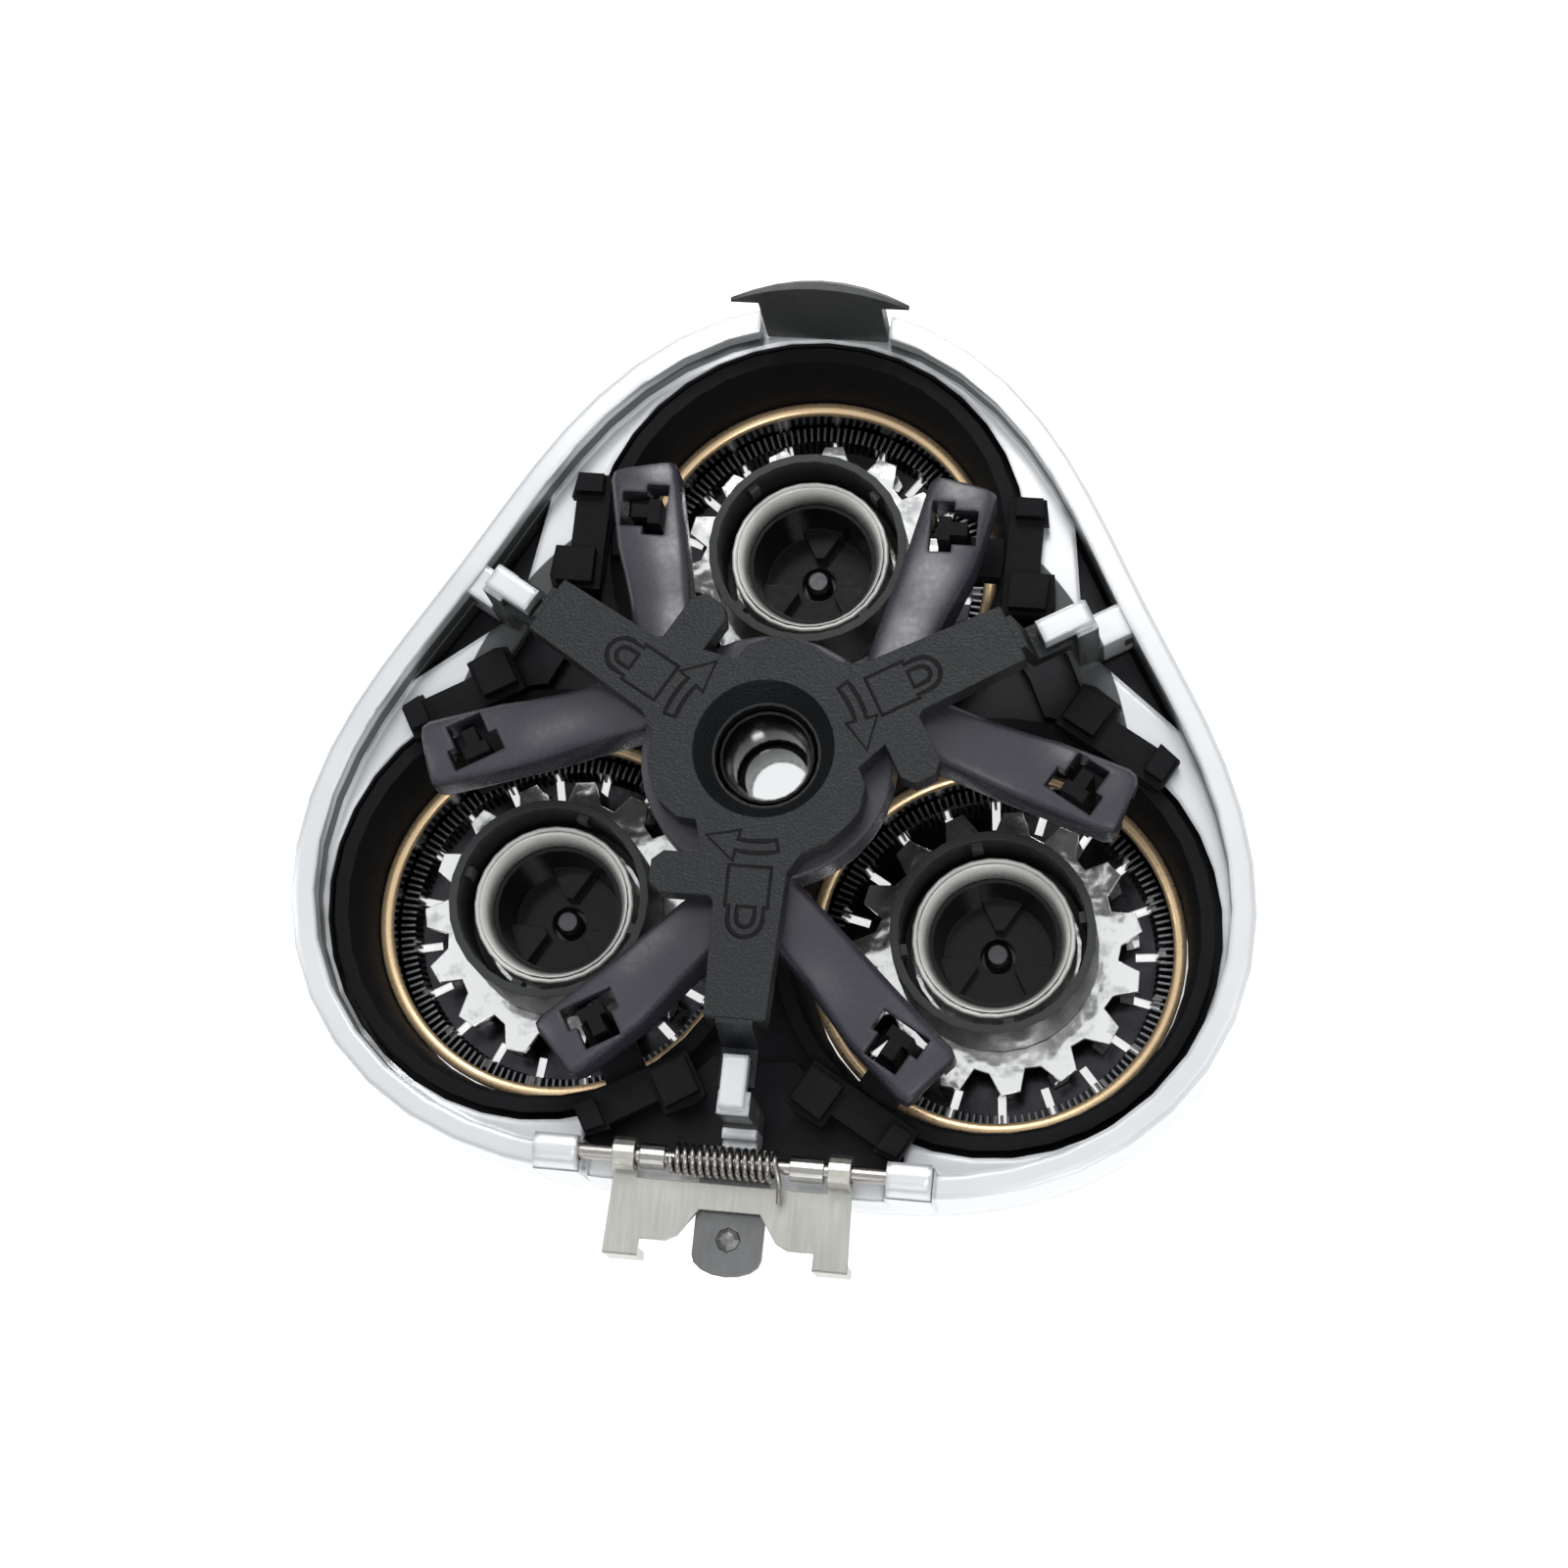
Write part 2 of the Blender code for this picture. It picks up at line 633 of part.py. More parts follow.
def make_holder():
    """A round holder with a flange, pivot ears and two posts that reach the retaining frame."""
    flange_low = HOLDER_FLANGE_TOP_Z - HOLDER_FLANGE_THICKNESS
    cup = turned([
        (HOLDER_FLANGE_RADIUS, HOLDER_FLANGE_TOP_Z),
        (HOLDER_FLANGE_RADIUS, flange_low),
        (HOLDER_BODY_RADIUS, flange_low - 0.0003),
        (HOLDER_BODY_RADIUS, HOLDER_LOW_Z + 0.0030),
        (HOLDER_MOUTH_RADIUS, HOLDER_LOW_Z),
        (HOLDER_BORE_RADIUS, HOLDER_LOW_Z),
        (HOLDER_BORE_RADIUS, HOLDER_STEP_Z + 0.0008),
        (HOLDER_BORE_RADIUS + 0.0004, HOLDER_FLANGE_TOP_Z - 0.0012),
        (HOLDER_BORE_RADIUS + 0.0008, HOLDER_FLANGE_TOP_Z),
    ])
    joins = []
    for side in (-1, 1):
        turn = Matrix.Rotation(0.0 if side > 0 else math.pi, 4, "Z")
        wall = HOLDER_FLANGE_RADIUS - 0.0009
        for part in (
            make_ear(wall, side),
            box((wall - 0.0001, -EAR_OUTER_END + 0.0006, flange_low + 0.0003),
                (HOLDER_FLANGE_RADIUS - 0.0002, EAR_OUTER_END - 0.0006, EAR_LOW_Z + 0.0002)),
            box((POST_OFFSET - POST_BAR_WIDTH - 0.0004, -BRIDGE_HALF, BRIDGE_LOW_Z),
                (HOLDER_BORE_RADIUS + 0.0007, BRIDGE_HALF, HOLDER_FLANGE_TOP_Z - 0.0003)),
            make_post(),
        ):
            joins.append(placed(part, turn))
    return combined(cup, joins=joins)


def make_cap():
    """The slotted steel cap: a shallow cup with a grooved face and a recess for its disc."""
    wall = CAP_WALL
    cup = turned([
        (CAP_RADIUS, CAP_HEIGHT),
        (CAP_RADIUS, 0.0009),
        (CAP_FACE_RADIUS, 0.0),
        (CAP_GROOVE_RADIUS + CAP_GROOVE_HALF, 0.0),
        (CAP_GROOVE_RADIUS, 0.0002),
        (CAP_GROOVE_RADIUS - CAP_GROOVE_HALF, 0.0),
        (CAP_RECESS_RADIUS, 0.0),
        (CAP_RECESS_RADIUS, CAP_RECESS_DEPTH),
        (0.0, CAP_RECESS_DEPTH),
        (0.0, CAP_RECESS_DEPTH + wall),
        (CAP_RECESS_RADIUS + wall, CAP_RECESS_DEPTH + wall),
        (CAP_RECESS_RADIUS + 0.0008, wall),
        (CAP_FACE_RADIUS - 0.0002, wall),
        (CAP_RADIUS - wall, 0.0011),
        (CAP_RADIUS - wall, CAP_HEIGHT),
    ], steps=CIRCLE - 8)
    slots = bmesh.new()
    for i in range(CAP_SLOTS):
        made = bmesh.ops.create_cube(slots, size=1.0)["verts"]
        size = (CAP_SLOT_OUTER - CAP_SLOT_INNER, CAP_SLOT_WIDTH, 4 * wall)
        bmesh.ops.scale(slots, vec=size, verts=made)
        bmesh.ops.translate(slots, vec=((CAP_SLOT_OUTER + CAP_SLOT_INNER) / 2, 0, 0), verts=made)
        turn = Matrix.Rotation(2 * math.pi * i / CAP_SLOTS, 3, "Z")
        bmesh.ops.rotate(slots, cent=(0, 0, 0), matrix=turn, verts=made)
    return combined(cup, cuts=[from_bmesh(slots)])


def make_cap_disc():
    top = CAP_RECESS_DEPTH - CLEARANCE
    radius = CAP_RECESS_RADIUS - CLEARANCE
    return turned([(0.0, top), (radius, top), (radius - 0.0003, 0.00005), (0.0, 0.00005)], steps=24)


def make_rim_ring():
    low = CAP_HEIGHT + CLEARANCE
    high = low + RING_HEIGHT
    outer = HOLDER_BORE_RADIUS - 0.00015
    inner = outer - RING_WIDTH
    middle = (outer + inner) / 2
    return turned([
        (middle, high),
        (outer, high - RING_CROWN),
        (outer, low),
        (inner, low),
        (inner, high - RING_CROWN),
    ])


def make_bearing_pin():
    low = CAP_RECESS_DEPTH + CAP_WALL + CLEARANCE
    radius = BEARING_PIN_RADIUS
    return turned([
        (0.0, BEARING_PIN_TOP_Z),
        (radius * 0.7, BEARING_PIN_TOP_Z),
        (radius, BEARING_PIN_TOP_Z - 0.0003),
        (radius, low),
        (0.0, low),
    ], steps=SMALL_CIRCLE)


def tooth_outline():
    """A ratchet-toothed ring outline: each tooth leans the way that the cutter turns."""
    points = []
    pitch = 2 * math.pi / CUTTER_TEETH
    for i in range(CUTTER_TEETH):
        for share, radius in ((0.0, TOOTH_ROOT_RADIUS), (0.30, TOOTH_ROOT_RADIUS + 0.0002),
                              (0.52, TOOTH_TIP_RADIUS), (0.84, TOOTH_TIP_RADIUS - 0.0002)):
            angle = pitch * (i + share)
            points.append((radius * math.cos(angle), radius * math.sin(angle)))
    return points


def make_blade():
    """The steel cutter: a toothed ring whose tooth ends turn down to the cap."""
    top = BLADE_LOW_Z + BLADE_THICKNESS
    ring = plate([tooth_outline(), circle(COLLAR_RADIUS - COLLAR_WALL, count=24)], BLADE_LOW_Z, top)
    teeth = bmesh.new()
    low = CAP_WALL + CLEARANCE
    for i in range(CUTTER_TEETH):
        made = bmesh.ops.create_cube(teeth, size=1.0)["verts"]
        bmesh.ops.scale(teeth, vec=(TOOTH_LENGTH, TOOTH_WIDTH, top - 0.0001 - low), verts=made)
        for vert in made:
            if vert.co.z < 0:
                vert.co.y -= TOOTH_WIDTH * 0.5
        reach = TOOTH_TIP_RADIUS - 0.0003 - TOOTH_LENGTH / 2
        bmesh.ops.translate(teeth, vec=(reach, 0, (top - 0.0001 + low) / 2), verts=made)
        turn = Matrix.Rotation(2 * math.pi * (i + 0.66) / CUTTER_TEETH, 3, "Z")
        bmesh.ops.rotate(teeth, cent=(0, 0, 0), matrix=turn, verts=made)
    return combined(ring, joins=[from_bmesh(teeth)])


def make_collar():
    """The bright collar between the hub and the drive socket."""
    low = BLADE_LOW_Z + BLADE_THICKNESS + CLEARANCE
    inner = COLLAR_RADIUS - COLLAR_WALL
    return turned([
        (COLLAR_RADIUS - 0.0001, COLLAR_TOP_Z),
        (COLLAR_RADIUS, COLLAR_TOP_Z - 0.0001),
        (COLLAR_RADIUS, low),
        (inner - COLLAR_TAPER, low),
        (inner - COLLAR_TAPER, BOWL_TOP_Z),
        (inner, COLLAR_TOP_Z - 0.0002),
        (inner + 0.0001, COLLAR_TOP_Z),
    ], steps=CIRCLE - 8)


def make_hub():
    """The black cutter hub: a round wall with small bumps inside its rim, on a floor."""
    low = BLADE_LOW_Z + BLADE_THICKNESS + CLEARANCE
    inner = HUB_RADIUS - HUB_WALL
    floor = COLLAR_RADIUS + CLEARANCE
    wall = turned([
        (HUB_RADIUS - 0.0001, HUB_TOP_Z),
        (HUB_RADIUS, low),
        (floor, low),
        (floor, low + 0.0009),
        (inner, low + 0.0009),
        (inner + 0.0001, HUB_TOP_Z),
    ], steps=CIRCLE - 8)
    bumps = []
    for i in range(HUB_BUMPS):
        angle = 45 + i * 360 / HUB_BUMPS
        bump = box((inner - 0.0004, -0.0004, HUB_TOP_Z - 0.0022), (inner + 0.0004, 0.0004, HUB_TOP_Z - 0.0006))
        bumps.append(placed(bump, turned_by(angle)))
    return combined(wall, joins=bumps)


def make_bowl():
    """The deep drive socket inside the collar, open round the bearing pin."""
    outer = COLLAR_RADIUS - COLLAR_WALL - COLLAR_TAPER - CLEARANCE
    inner = outer - BOWL_WALL
    hole = BEARING_PIN_RADIUS + CLEARANCE
    cup = turned([
        (outer, BOWL_TOP_Z),
        (outer, BOWL_LOW_Z + 0.0006),
        (outer - 0.0006, BOWL_LOW_Z),
        (hole, BOWL_LOW_Z),
        (hole, BOWL_FLOOR_Z),
        (inner - 0.0004, BOWL_FLOOR_Z),
        (inner, BOWL_TOP_Z),
    ], steps=24)
    near, far = hole + 0.0004, inner - 0.0003
    wedge = [(near, -VANE_POINT), (far, -VANE_HALF), (far, VANE_HALF), (near, VANE_POINT)]
    vanes = []
    for i in range(3):
        vane = plate([wedge], BOWL_FLOOR_Z - 0.0002, BOWL_FLOOR_Z + VANE_HEIGHT)
        vanes.append(placed(vane, turned_by(90 + 120 * i)))
    return combined(cup, joins=vanes)


def arm_section(centre, along, width, top, skirt):
    """A saddle section with rounded shoulders and a hollow underside, square to the arm."""
    side = Vector((-along.y, along.x, 0.0))
    half, round_, skin = width / 2, ARM_CORNER, ARM_SKIN
    shoulder = []
    for i in range(4):
        turn = math.radians(30 * i)
        shoulder.append((half - round_ * (1 - math.cos(turn)), top - round_ * (1 - math.sin(turn))))
    shape = [(-half, skirt), *[(-u, z) for u, z in shoulder], *reversed(shoulder), (half, skirt)]
    shape += [
        (half - skin * 0.8, skirt), (half - skin * 0.8, top - skin),
        (-half + skin * 0.8, top - skin), (-half + skin * 0.8, skirt),
    ]
    return [(centre[0] + side.x * u, centre[1] + side.y * u, z) for u, z in shape]


def frame_arm(side):
    """One arm of the retaining frame, in the frame of the unit it holds, at that side of it."""
    root = Vector((side * ARM_ROOT_SIDE, -ARM_ROOT_BACK, 0.0))
    slot = Vector((side * POST_OFFSET, 0.0, 0.0))
    along = (slot - root).normalized()
    inwards = Vector((-along.y, along.x, 0.0)) * side
    length = (slot - root).length
    reach = length + ARM_END
    drop = ARM_ROOT_Z - ARM_SLOT_Z
    root_z = ARM_ROOT_Z - (0.0 if side > 0 else 0.00005)
    stations = [
        (0.0, ARM_WIDTH_ROOT, root_z, ARM_SKIRT_Z + 0.0012),
        (length * 0.28, ARM_WIDTH_ROOT, root_z - drop * 0.10, ARM_SKIRT_Z + 0.0008),
        (length * 0.48, ARM_WIDTH_ROOT + 0.0001, ARM_ROOT_Z - drop * 0.42, ARM_SKIRT_Z + 0.0003),
        (length * 0.66, ARM_WIDTH_TIP - 0.0003, ARM_ROOT_Z - drop * 0.80, ARM_SKIRT_Z),
        (length * 0.82, ARM_WIDTH_TIP, ARM_SLOT_Z + drop * 0.04, ARM_SKIRT_Z),
        (reach - 0.0008, ARM_WIDTH_TIP, ARM_SLOT_Z, ARM_SKIRT_Z),
        (reach - 0.0002, ARM_WIDTH_TIP - 0.0004, ARM_SLOT_Z - 0.0001, ARM_SKIRT_Z + 0.0002),
        (reach, ARM_WIDTH_TIP - 0.0012, ARM_SLOT_Z - 0.0005, ARM_SKIRT_Z + 0.0004),
    ]
    sections = []
    for s, width, top, skirt in stations:
        shift = inwards * min(ARM_WIDTH_TIP - width, ARM_WIDTH_TIP - ARM_WIDTH_ROOT) / 2
        centre = root + along * s + (shift if s < length else shift * 0)
        sections.append(arm_section(centre, along, width, top, skirt))
    body = lofted(sections)
    end = root + along * (reach - 0.0013)
    half = ARM_WIDTH_TIP / 2 - 0.0003
    low, high = ARM_SKIRT_Z + 0.0006, ARM_SLOT_Z - ARM_CORNER * 0.4
    across = Vector((-along.y, along.x, 0.0))
    close = []
    for t in (0.0, 0.0007):
        left, right = end - along * t - across * half, end - along * t + across * half
        close.append([(left.x, left.y, low), (right.x, right.y, low), (right.x, right.y, high), (left.x, left.y, high)])
    return combined(body, joins=[lofted(close)])


def arm_slot(side):
    """The T-shaped slot over a post, with its bar on the side of the unit's axis."""
    low, high = ARM_SLOT_Z - SLOT_DEPTH, ARM_SLOT_Z + 0.0010
    inwards = POST_OFFSET - SLOT_BAR_WIDTH + 0.0002
    middle = POST_OFFSET + 0.0002
    outwards = POST_OFFSET + SLOT_STEM_WIDTH
    bar = [(inwards, -SLOT_BAR_LENGTH / 2), (middle, -SLOT_BAR_LENGTH / 2),
           (middle, -SLOT_STEM_LENGTH / 2), (outwards, -SLOT_STEM_LENGTH / 2),
           (outwards, SLOT_STEM_LENGTH / 2), (middle, SLOT_STEM_LENGTH / 2),
           (middle, SLOT_BAR_LENGTH / 2), (inwards, SLOT_BAR_LENGTH / 2)]
    return plate([[(side * x, y) for x, y in bar]], low, high)


def make_retaining_frame():
    hub = cylinder(FRAME_HUB_RADIUS, FRAME_HUB_LOW_Z, FRAME_HUB_TOP_Z)
    joins, cuts = [], []
    for angle in UNIT_ANGLES.values():
        place = Matrix.Translation((*unit_centre(angle), 0.0)) @ turned_by(angle - 90)
        for side in (-1, 1):
            joins.append(placed(frame_arm(side), place))
            cuts.append(placed(arm_slot(side), place))
    cuts.append(cylinder(FRAME_BORE_RADIUS, FRAME_HUB_LOW_Z - 0.001, FRAME_HUB_TOP_Z + 0.001))
    return combined(hub, joins=joins, cuts=cuts)


def lock_outline():
    """One lobe, notch, finger and arm, repeated three times round the disc."""
    def arc(radius, first, last, count):
        step = (last - first) / (count - 1)
        return [(radius * math.cos(math.radians(first + step * i)),
                 radius * math.sin(math.radians(first + step * i))) for i in range(count)]

    sector = [
        *arc(LOCK_LOBE_RADIUS, -82, -59, 4),
        (0.0052, -0.0054),
        (0.0053, -0.0041),
        (FINGER_NEAR, -0.0034),
        (FINGER_NEAR, -FINGER_REACH + 0.0008),
        (FINGER_NEAR + 0.0007, -FINGER_REACH),
        (FINGER_FAR - 0.0007, -FINGER_REACH),
        (FINGER_FAR, -FINGER_REACH + 0.0008),
        (FINGER_FAR, -LOCK_ARM_HALF - 0.0003),
        (FINGER_FAR + 0.0004, -LOCK_ARM_HALF),
        (LOCK_FLAT_REACH, -LOCK_ARM_HALF + 0.0002),
        (LOCK_FLAT_REACH, LOCK_ARM_HALF - 0.0002),
        (0.0085, LOCK_ARM_HALF + 0.0002),
        (0.0071, 0.0034),
        (0.0065, 0.0044),
    ]
    points = []
    for angle in LOCK_ANGLES:
        turn = turned_by(angle)
        points += [tuple((turn @ Vector((x, y, 0.0)))[:2]) for x, y in sector]
    return points


def lock_tip(angle):
    """The stepped-down end of a lock arm, which slides under its hook."""
    low = LOCK_TOP_Z - LOCK_THICKNESS
    tip_low = LOCK_TIP_TOP_Z - LOCK_TIP_THICKNESS
    start = LOCK_FLAT_REACH - 0.0006
    side_view = [
        (start, LOCK_TOP_Z - 0.0001), (LOCK_FLAT_REACH + 0.0004, LOCK_TOP_Z - 0.0001),
        (LOCK_DROP_REACH + 0.0004, LOCK_TIP_TOP_Z), (LOCK_TIP_REACH, LOCK_TIP_TOP_Z),
        (LOCK_TIP_REACH, tip_low), (LOCK_DROP_REACH, tip_low),
        (LOCK_FLAT_REACH - 0.0002, low + 0.0001), (start, low + 0.0001),
    ]
    body = plate([side_view], -LOCK_ARM_HALF + 0.0003, LOCK_ARM_HALF - 0.0003)
    body = placed(body, Matrix.Rotation(math.pi / 2, 4, "X"))
    cheeks = []
    for side in (-1, 1):
        ys = sorted((side * LOCK_TIP_HALF, side * (LOCK_ARM_HALF + 0.001)))
        cheeks.append(box((LOCK_DROP_REACH - 0.0008, ys[0], tip_low - 0.001), (LOCK_TIP_REACH + 0.001, ys[1], LOCK_TOP_Z + 0.001)))
    return placed(combined(body, cuts=cheeks), turned_by(angle))


def make_lock():
    """The three-armed lock: a funnel at its centre and a sleeve that snaps in under the frame."""
    low = LOCK_TOP_Z - LOCK_THICKNESS
    bore = BUSH_RADIUS + CLEARANCE
    catch = FRAME_HUB_LOW_Z - CLEARANCE
    body = plate([lock_outline()], low, LOCK_TOP_Z)
    tips = [lock_tip(angle) for angle in LOCK_ANGLES]
    hole = turned([
        (FUNNEL_RADIUS + 0.0002, LOCK_TOP_Z + 0.0003),
        (FUNNEL_RADIUS, LOCK_TOP_Z),
        (bore + 0.0001, low + 0.0001),
        (bore + 0.0001, low - 0.0010),
        (0.0, low - 0.0010),
        (0.0, LOCK_TOP_Z + 0.0003),
    ])
    body = combined(body, joins=tips, cuts=[hole])
    sleeve = turned([
        (bore + SLEEVE_WALL, low + 0.0002),
        (bore + SLEEVE_WALL, catch),
        (bore + SLEEVE_WALL + SLEEVE_LIP, catch),
        (bore + SLEEVE_WALL, SLEEVE_LOW_Z),
        (bore, SLEEVE_LOW_Z),
        (bore, low + 0.0002),
    ], steps=24)
    return combined(body, joins=[sleeve])


def make_bush():
    """The tube through the frame's hub, on which the lock turns."""
    return turned([
        (BUSH_RADIUS, BUSH_TOP_Z),
        (BUSH_RADIUS, BUSH_WAIST_Z),
        (BUSH_STEM_RADIUS, BUSH_WAIST_Z),
        (BUSH_STEM_RADIUS, BUSH_LOW_Z),
        (BUSH_STEM_BORE, BUSH_LOW_Z),
        (BUSH_STEM_BORE, BUSH_WAIST_Z + 0.0006),
        (BUSH_BORE_RADIUS, BUSH_WAIST_Z + 0.0006),
        (BUSH_BORE_RADIUS, BUSH_TOP_Z - BUSH_TAPER),
        (BUSH_RADIUS - 0.0002, BUSH_TOP_Z),
    ], steps=24)


def make_hinge_plate():
    """The nickel plate: a cut sheet with turned-down feet and two knuckles on the pin."""
    low = HINGE_Z - KNUCKLE_RADIUS
    high = low + PLATE_THICKNESS
    half = [
        (PLATE_NOTCH_HALF, -PLATE_NOTCH_Y),
        (PLATE_NOTCH_FOOT - 0.0004, -PLATE_EDGE_Y + 0.0004),
        (PLATE_NOTCH_FOOT + 0.0004, -PLATE_EDGE_Y),
        (PLATE_FOOT_INNER, -PLATE_EDGE_Y),
        (PLATE_FOOT_INNER, -PLATE_FOOT_Y),
        (PLATE_HALF, -PLATE_FOOT_Y),
        (PLATE_HALF - 0.0002, -PLATE_NEAR_Y),
        (KNUCKLE_OUTER, -HINGE_Y),
        (KNUCKLE_INNER, -HINGE_Y),
        (KNUCKLE_INNER, -PLATE_NEAR_Y),
    ]
    sheet = plate([half + [(-x, y) for x, y in reversed(half)]], low, high)
    joins, cuts = [], []
    for side in (-1, 1):
        ends = sorted((side * KNUCKLE_INNER, side * KNUCKLE_OUTER))
        joins.append(along_x(KNUCKLE_RADIUS, ends[0] + 0.00005, ends[1] - 0.00005, -HINGE_Y, HINGE_Z))
        feet = sorted((side * PLATE_FOOT_INNER, side * PLATE_HALF))
        joins.append(box((feet[0], -PLATE_FOOT_Y - 0.0001, high - PLATE_FOOT_DROP),
                         (feet[1], -PLATE_FOOT_Y + PLATE_THICKNESS, high - 0.0001)))
        cuts.append(along_x(KNUCKLE_BORE, ends[0] - 0.001, ends[1] + 0.001, -HINGE_Y, HINGE_Z))
    return combined(sheet, joins=joins, cuts=cuts)


def make_pin():
    return along_x(PIN_RADIUS, -PIN_HALF + 0.0002, PIN_HALF - 0.0002, -HINGE_Y, HINGE_Z)


def make_sleeve(low, high):
    outer = along_x(SLEEVE_RADIUS, low, high, -HINGE_Y, HINGE_Z)
    bore = along_x(PIN_RADIUS + 0.0001, low - 0.001, high + 0.001, -HINGE_Y, HINGE_Z)
    return combined(outer, cuts=[bore])


def make_spring():
    """A torsion spring round the pin, with one leg on the plate and one down to the housing."""
    per_turn = 7
    count = SPRING_TURNS * per_turn
    points = []
    for i in range(count + 1):
        angle = 2 * math.pi * i / per_turn
        x = SPRING_LEFT + (SPRING_RIGHT - SPRING_LEFT) * i / count
        points.append((x, -HINGE_Y - SPRING_RADIUS * math.sin(angle), HINGE_Z + SPRING_RADIUS * math.cos(angle)))
    leg_z = HINGE_Z + SPRING_RADIUS
    points.append((SPRING_RIGHT + 0.0004, -HINGE_Y - 0.0012, leg_z - 0.0002))
    points.append((SPRING_RIGHT + 0.0004, -PLATE_NEAR_Y - 0.0012, HINGE_Z - 0.0001))
    curve = bpy.data.curves.new("spring", "CURVE")
    curve.dimensions = "3D"
    curve.bevel_depth = SPRING_WIRE
    curve.bevel_resolution = 1
    curve.use_fill_caps = True
    spline = curve.splines.new("POLY")
    spline.points.add(len(points) - 1)
    for point, co in zip(spline.points, points):
        point.co = (*co, 1.0)
    return baked(linked("spring", curve))


def make_tongue():
    """The sprung metal tongue below the plate, with a round end and a raised bump."""
    end = TONGUE_REACH_Y - TONGUE_HALF * 0.55
    near = TONGUE_LENGTH - TONGUE_REACH_Y
    bump_y = TONGUE_BUMP_SETBACK - TONGUE_REACH_Y
    steps = 8
    tip = []
    for i in range(steps + 1):
        turn = math.pi * i / steps
        tip.append((TONGUE_HALF * math.cos(turn), -end - TONGUE_HALF * 0.55 * math.sin(turn)))
    sheet = plate([[(-TONGUE_HALF, near), (TONGUE_HALF, near), *tip]],
                  TONGUE_Z, TONGUE_Z + TONGUE_THICKNESS)
    bump = turned([
        (0.0, TONGUE_THICKNESS + 0.0004),
        (TONGUE_BUMP_RADIUS * 0.5, TONGUE_THICKNESS + 0.00033),
        (TONGUE_BUMP_RADIUS * 0.85, TONGUE_THICKNESS + 0.00015),
        (TONGUE_BUMP_RADIUS, TONGUE_THICKNESS * 0.5),
        (0.0, TONGUE_THICKNESS * 0.5),
    ], steps=SMALL_CIRCLE - 8)
    return combined(sheet, joins=[placed(bump, Matrix.Translation((0, bump_y, TONGUE_Z)))])


def build():
    clear_scene()
    parts = bpy.data.collections.new("rotary_shaver_head")
    bpy.context.scene.collection.children.link(parts)
    axis = empty("head_axis", (0.0, AXIS_Y, 0.0), 0.0, None, parts)

    finish("outer_shell", make_shell(), "silver", parts, axis)
    finish("front_trim", make_trim(), "silver", parts, axis)
    finish("chassis", make_chassis(), "dark_frame", parts, axis)
    finish("coupling_tab", make_tab(), "dark_frame", parts, axis)
    finish("retaining_frame", make_retaining_frame(), "grey_frame", parts, axis)
    finish("centre_bush", make_bush(), "gloss_black", parts, axis)
    finish("lock_spider", make_lock(), "matte_black", parts, axis)
    finish("latch_tongue", make_tongue(), "nickel", parts, axis)
    finish("hinge_pin", make_pin(), "steel", parts, axis)
    finish("pin_sleeve_left", make_sleeve(-KNUCKLE_INNER + 0.0003, SPRING_LEFT - 0.0004), "nickel", parts, axis)
    finish("pin_sleeve_right", make_sleeve(SPRING_RIGHT + 0.0010, KNUCKLE_INNER - 0.0003), "nickel", parts, axis)
    finish("hinge_spring", make_spring(), "nickel", parts, axis)
    finish("hinge_plate", make_hinge_plate(), "nickel", parts, axis)

    shapes = {
        "cap_holder": (make_holder().data, "gloss_black"),
        "shaving_cap": (make_cap().data, "steel"),
        "cap_disc": (make_cap_disc().data, "nickel"),
        "rim_ring": (make_rim_ring().data, "gold"),
        "bearing_pin": (make_bearing_pin().data, "pin_grey"),
        "cutter_blade": (make_blade().data, "steel"),
        "cutter_collar": (make_collar().data, "steel"),
        "cutter_hub": (make_hub().data, "matte_black"),
        "drive_socket": (make_bowl().data, "gloss_black"),
    }
    for obj in [o for o in bpy.context.scene.collection.objects]:
        bpy.data.objects.remove(obj, do_unlink=True)
    for where, angle in UNIT_ANGLES.items():
        unit = empty(f"unit_{where}", (*unit_centre(angle), 0.0), angle - 90, axis, parts)
        for name, (mesh, colour) in shapes.items():
            instance(f"{name}_{where}", mesh, colour, parts, unit)


build()
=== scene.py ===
"""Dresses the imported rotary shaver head: camera, studio, finishes and fine detail on top of the solids."""

import math

import bmesh
import bpy
from mathutils import Matrix, Vector


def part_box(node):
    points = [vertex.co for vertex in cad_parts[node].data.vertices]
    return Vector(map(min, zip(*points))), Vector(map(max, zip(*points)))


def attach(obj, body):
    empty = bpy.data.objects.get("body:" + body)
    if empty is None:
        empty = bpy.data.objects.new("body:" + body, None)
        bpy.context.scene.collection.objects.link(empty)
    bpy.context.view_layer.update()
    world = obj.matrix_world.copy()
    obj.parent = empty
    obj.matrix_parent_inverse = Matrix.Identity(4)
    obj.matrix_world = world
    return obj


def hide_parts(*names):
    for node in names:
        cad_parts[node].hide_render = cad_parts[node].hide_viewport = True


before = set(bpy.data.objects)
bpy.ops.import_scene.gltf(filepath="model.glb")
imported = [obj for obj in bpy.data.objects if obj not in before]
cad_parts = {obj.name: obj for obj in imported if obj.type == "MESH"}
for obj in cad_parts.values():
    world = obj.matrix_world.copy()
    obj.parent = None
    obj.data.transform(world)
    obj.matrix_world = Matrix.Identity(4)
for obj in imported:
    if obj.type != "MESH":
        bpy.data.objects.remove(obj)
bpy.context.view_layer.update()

MM = 0.001
UNITS = ("top", "left", "right")

# Where the head's axis stands in Y, the lock's top face, and the angles that its arms point at
HEAD_Y = -0.78 * MM
LOCK_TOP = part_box("lock_spider")[1][2]
LOCK_ANGLES = (30.0, 150.0, 270.0)

# Meshes: points closer than this become one
MERGE_DISTANCE = 1e-7

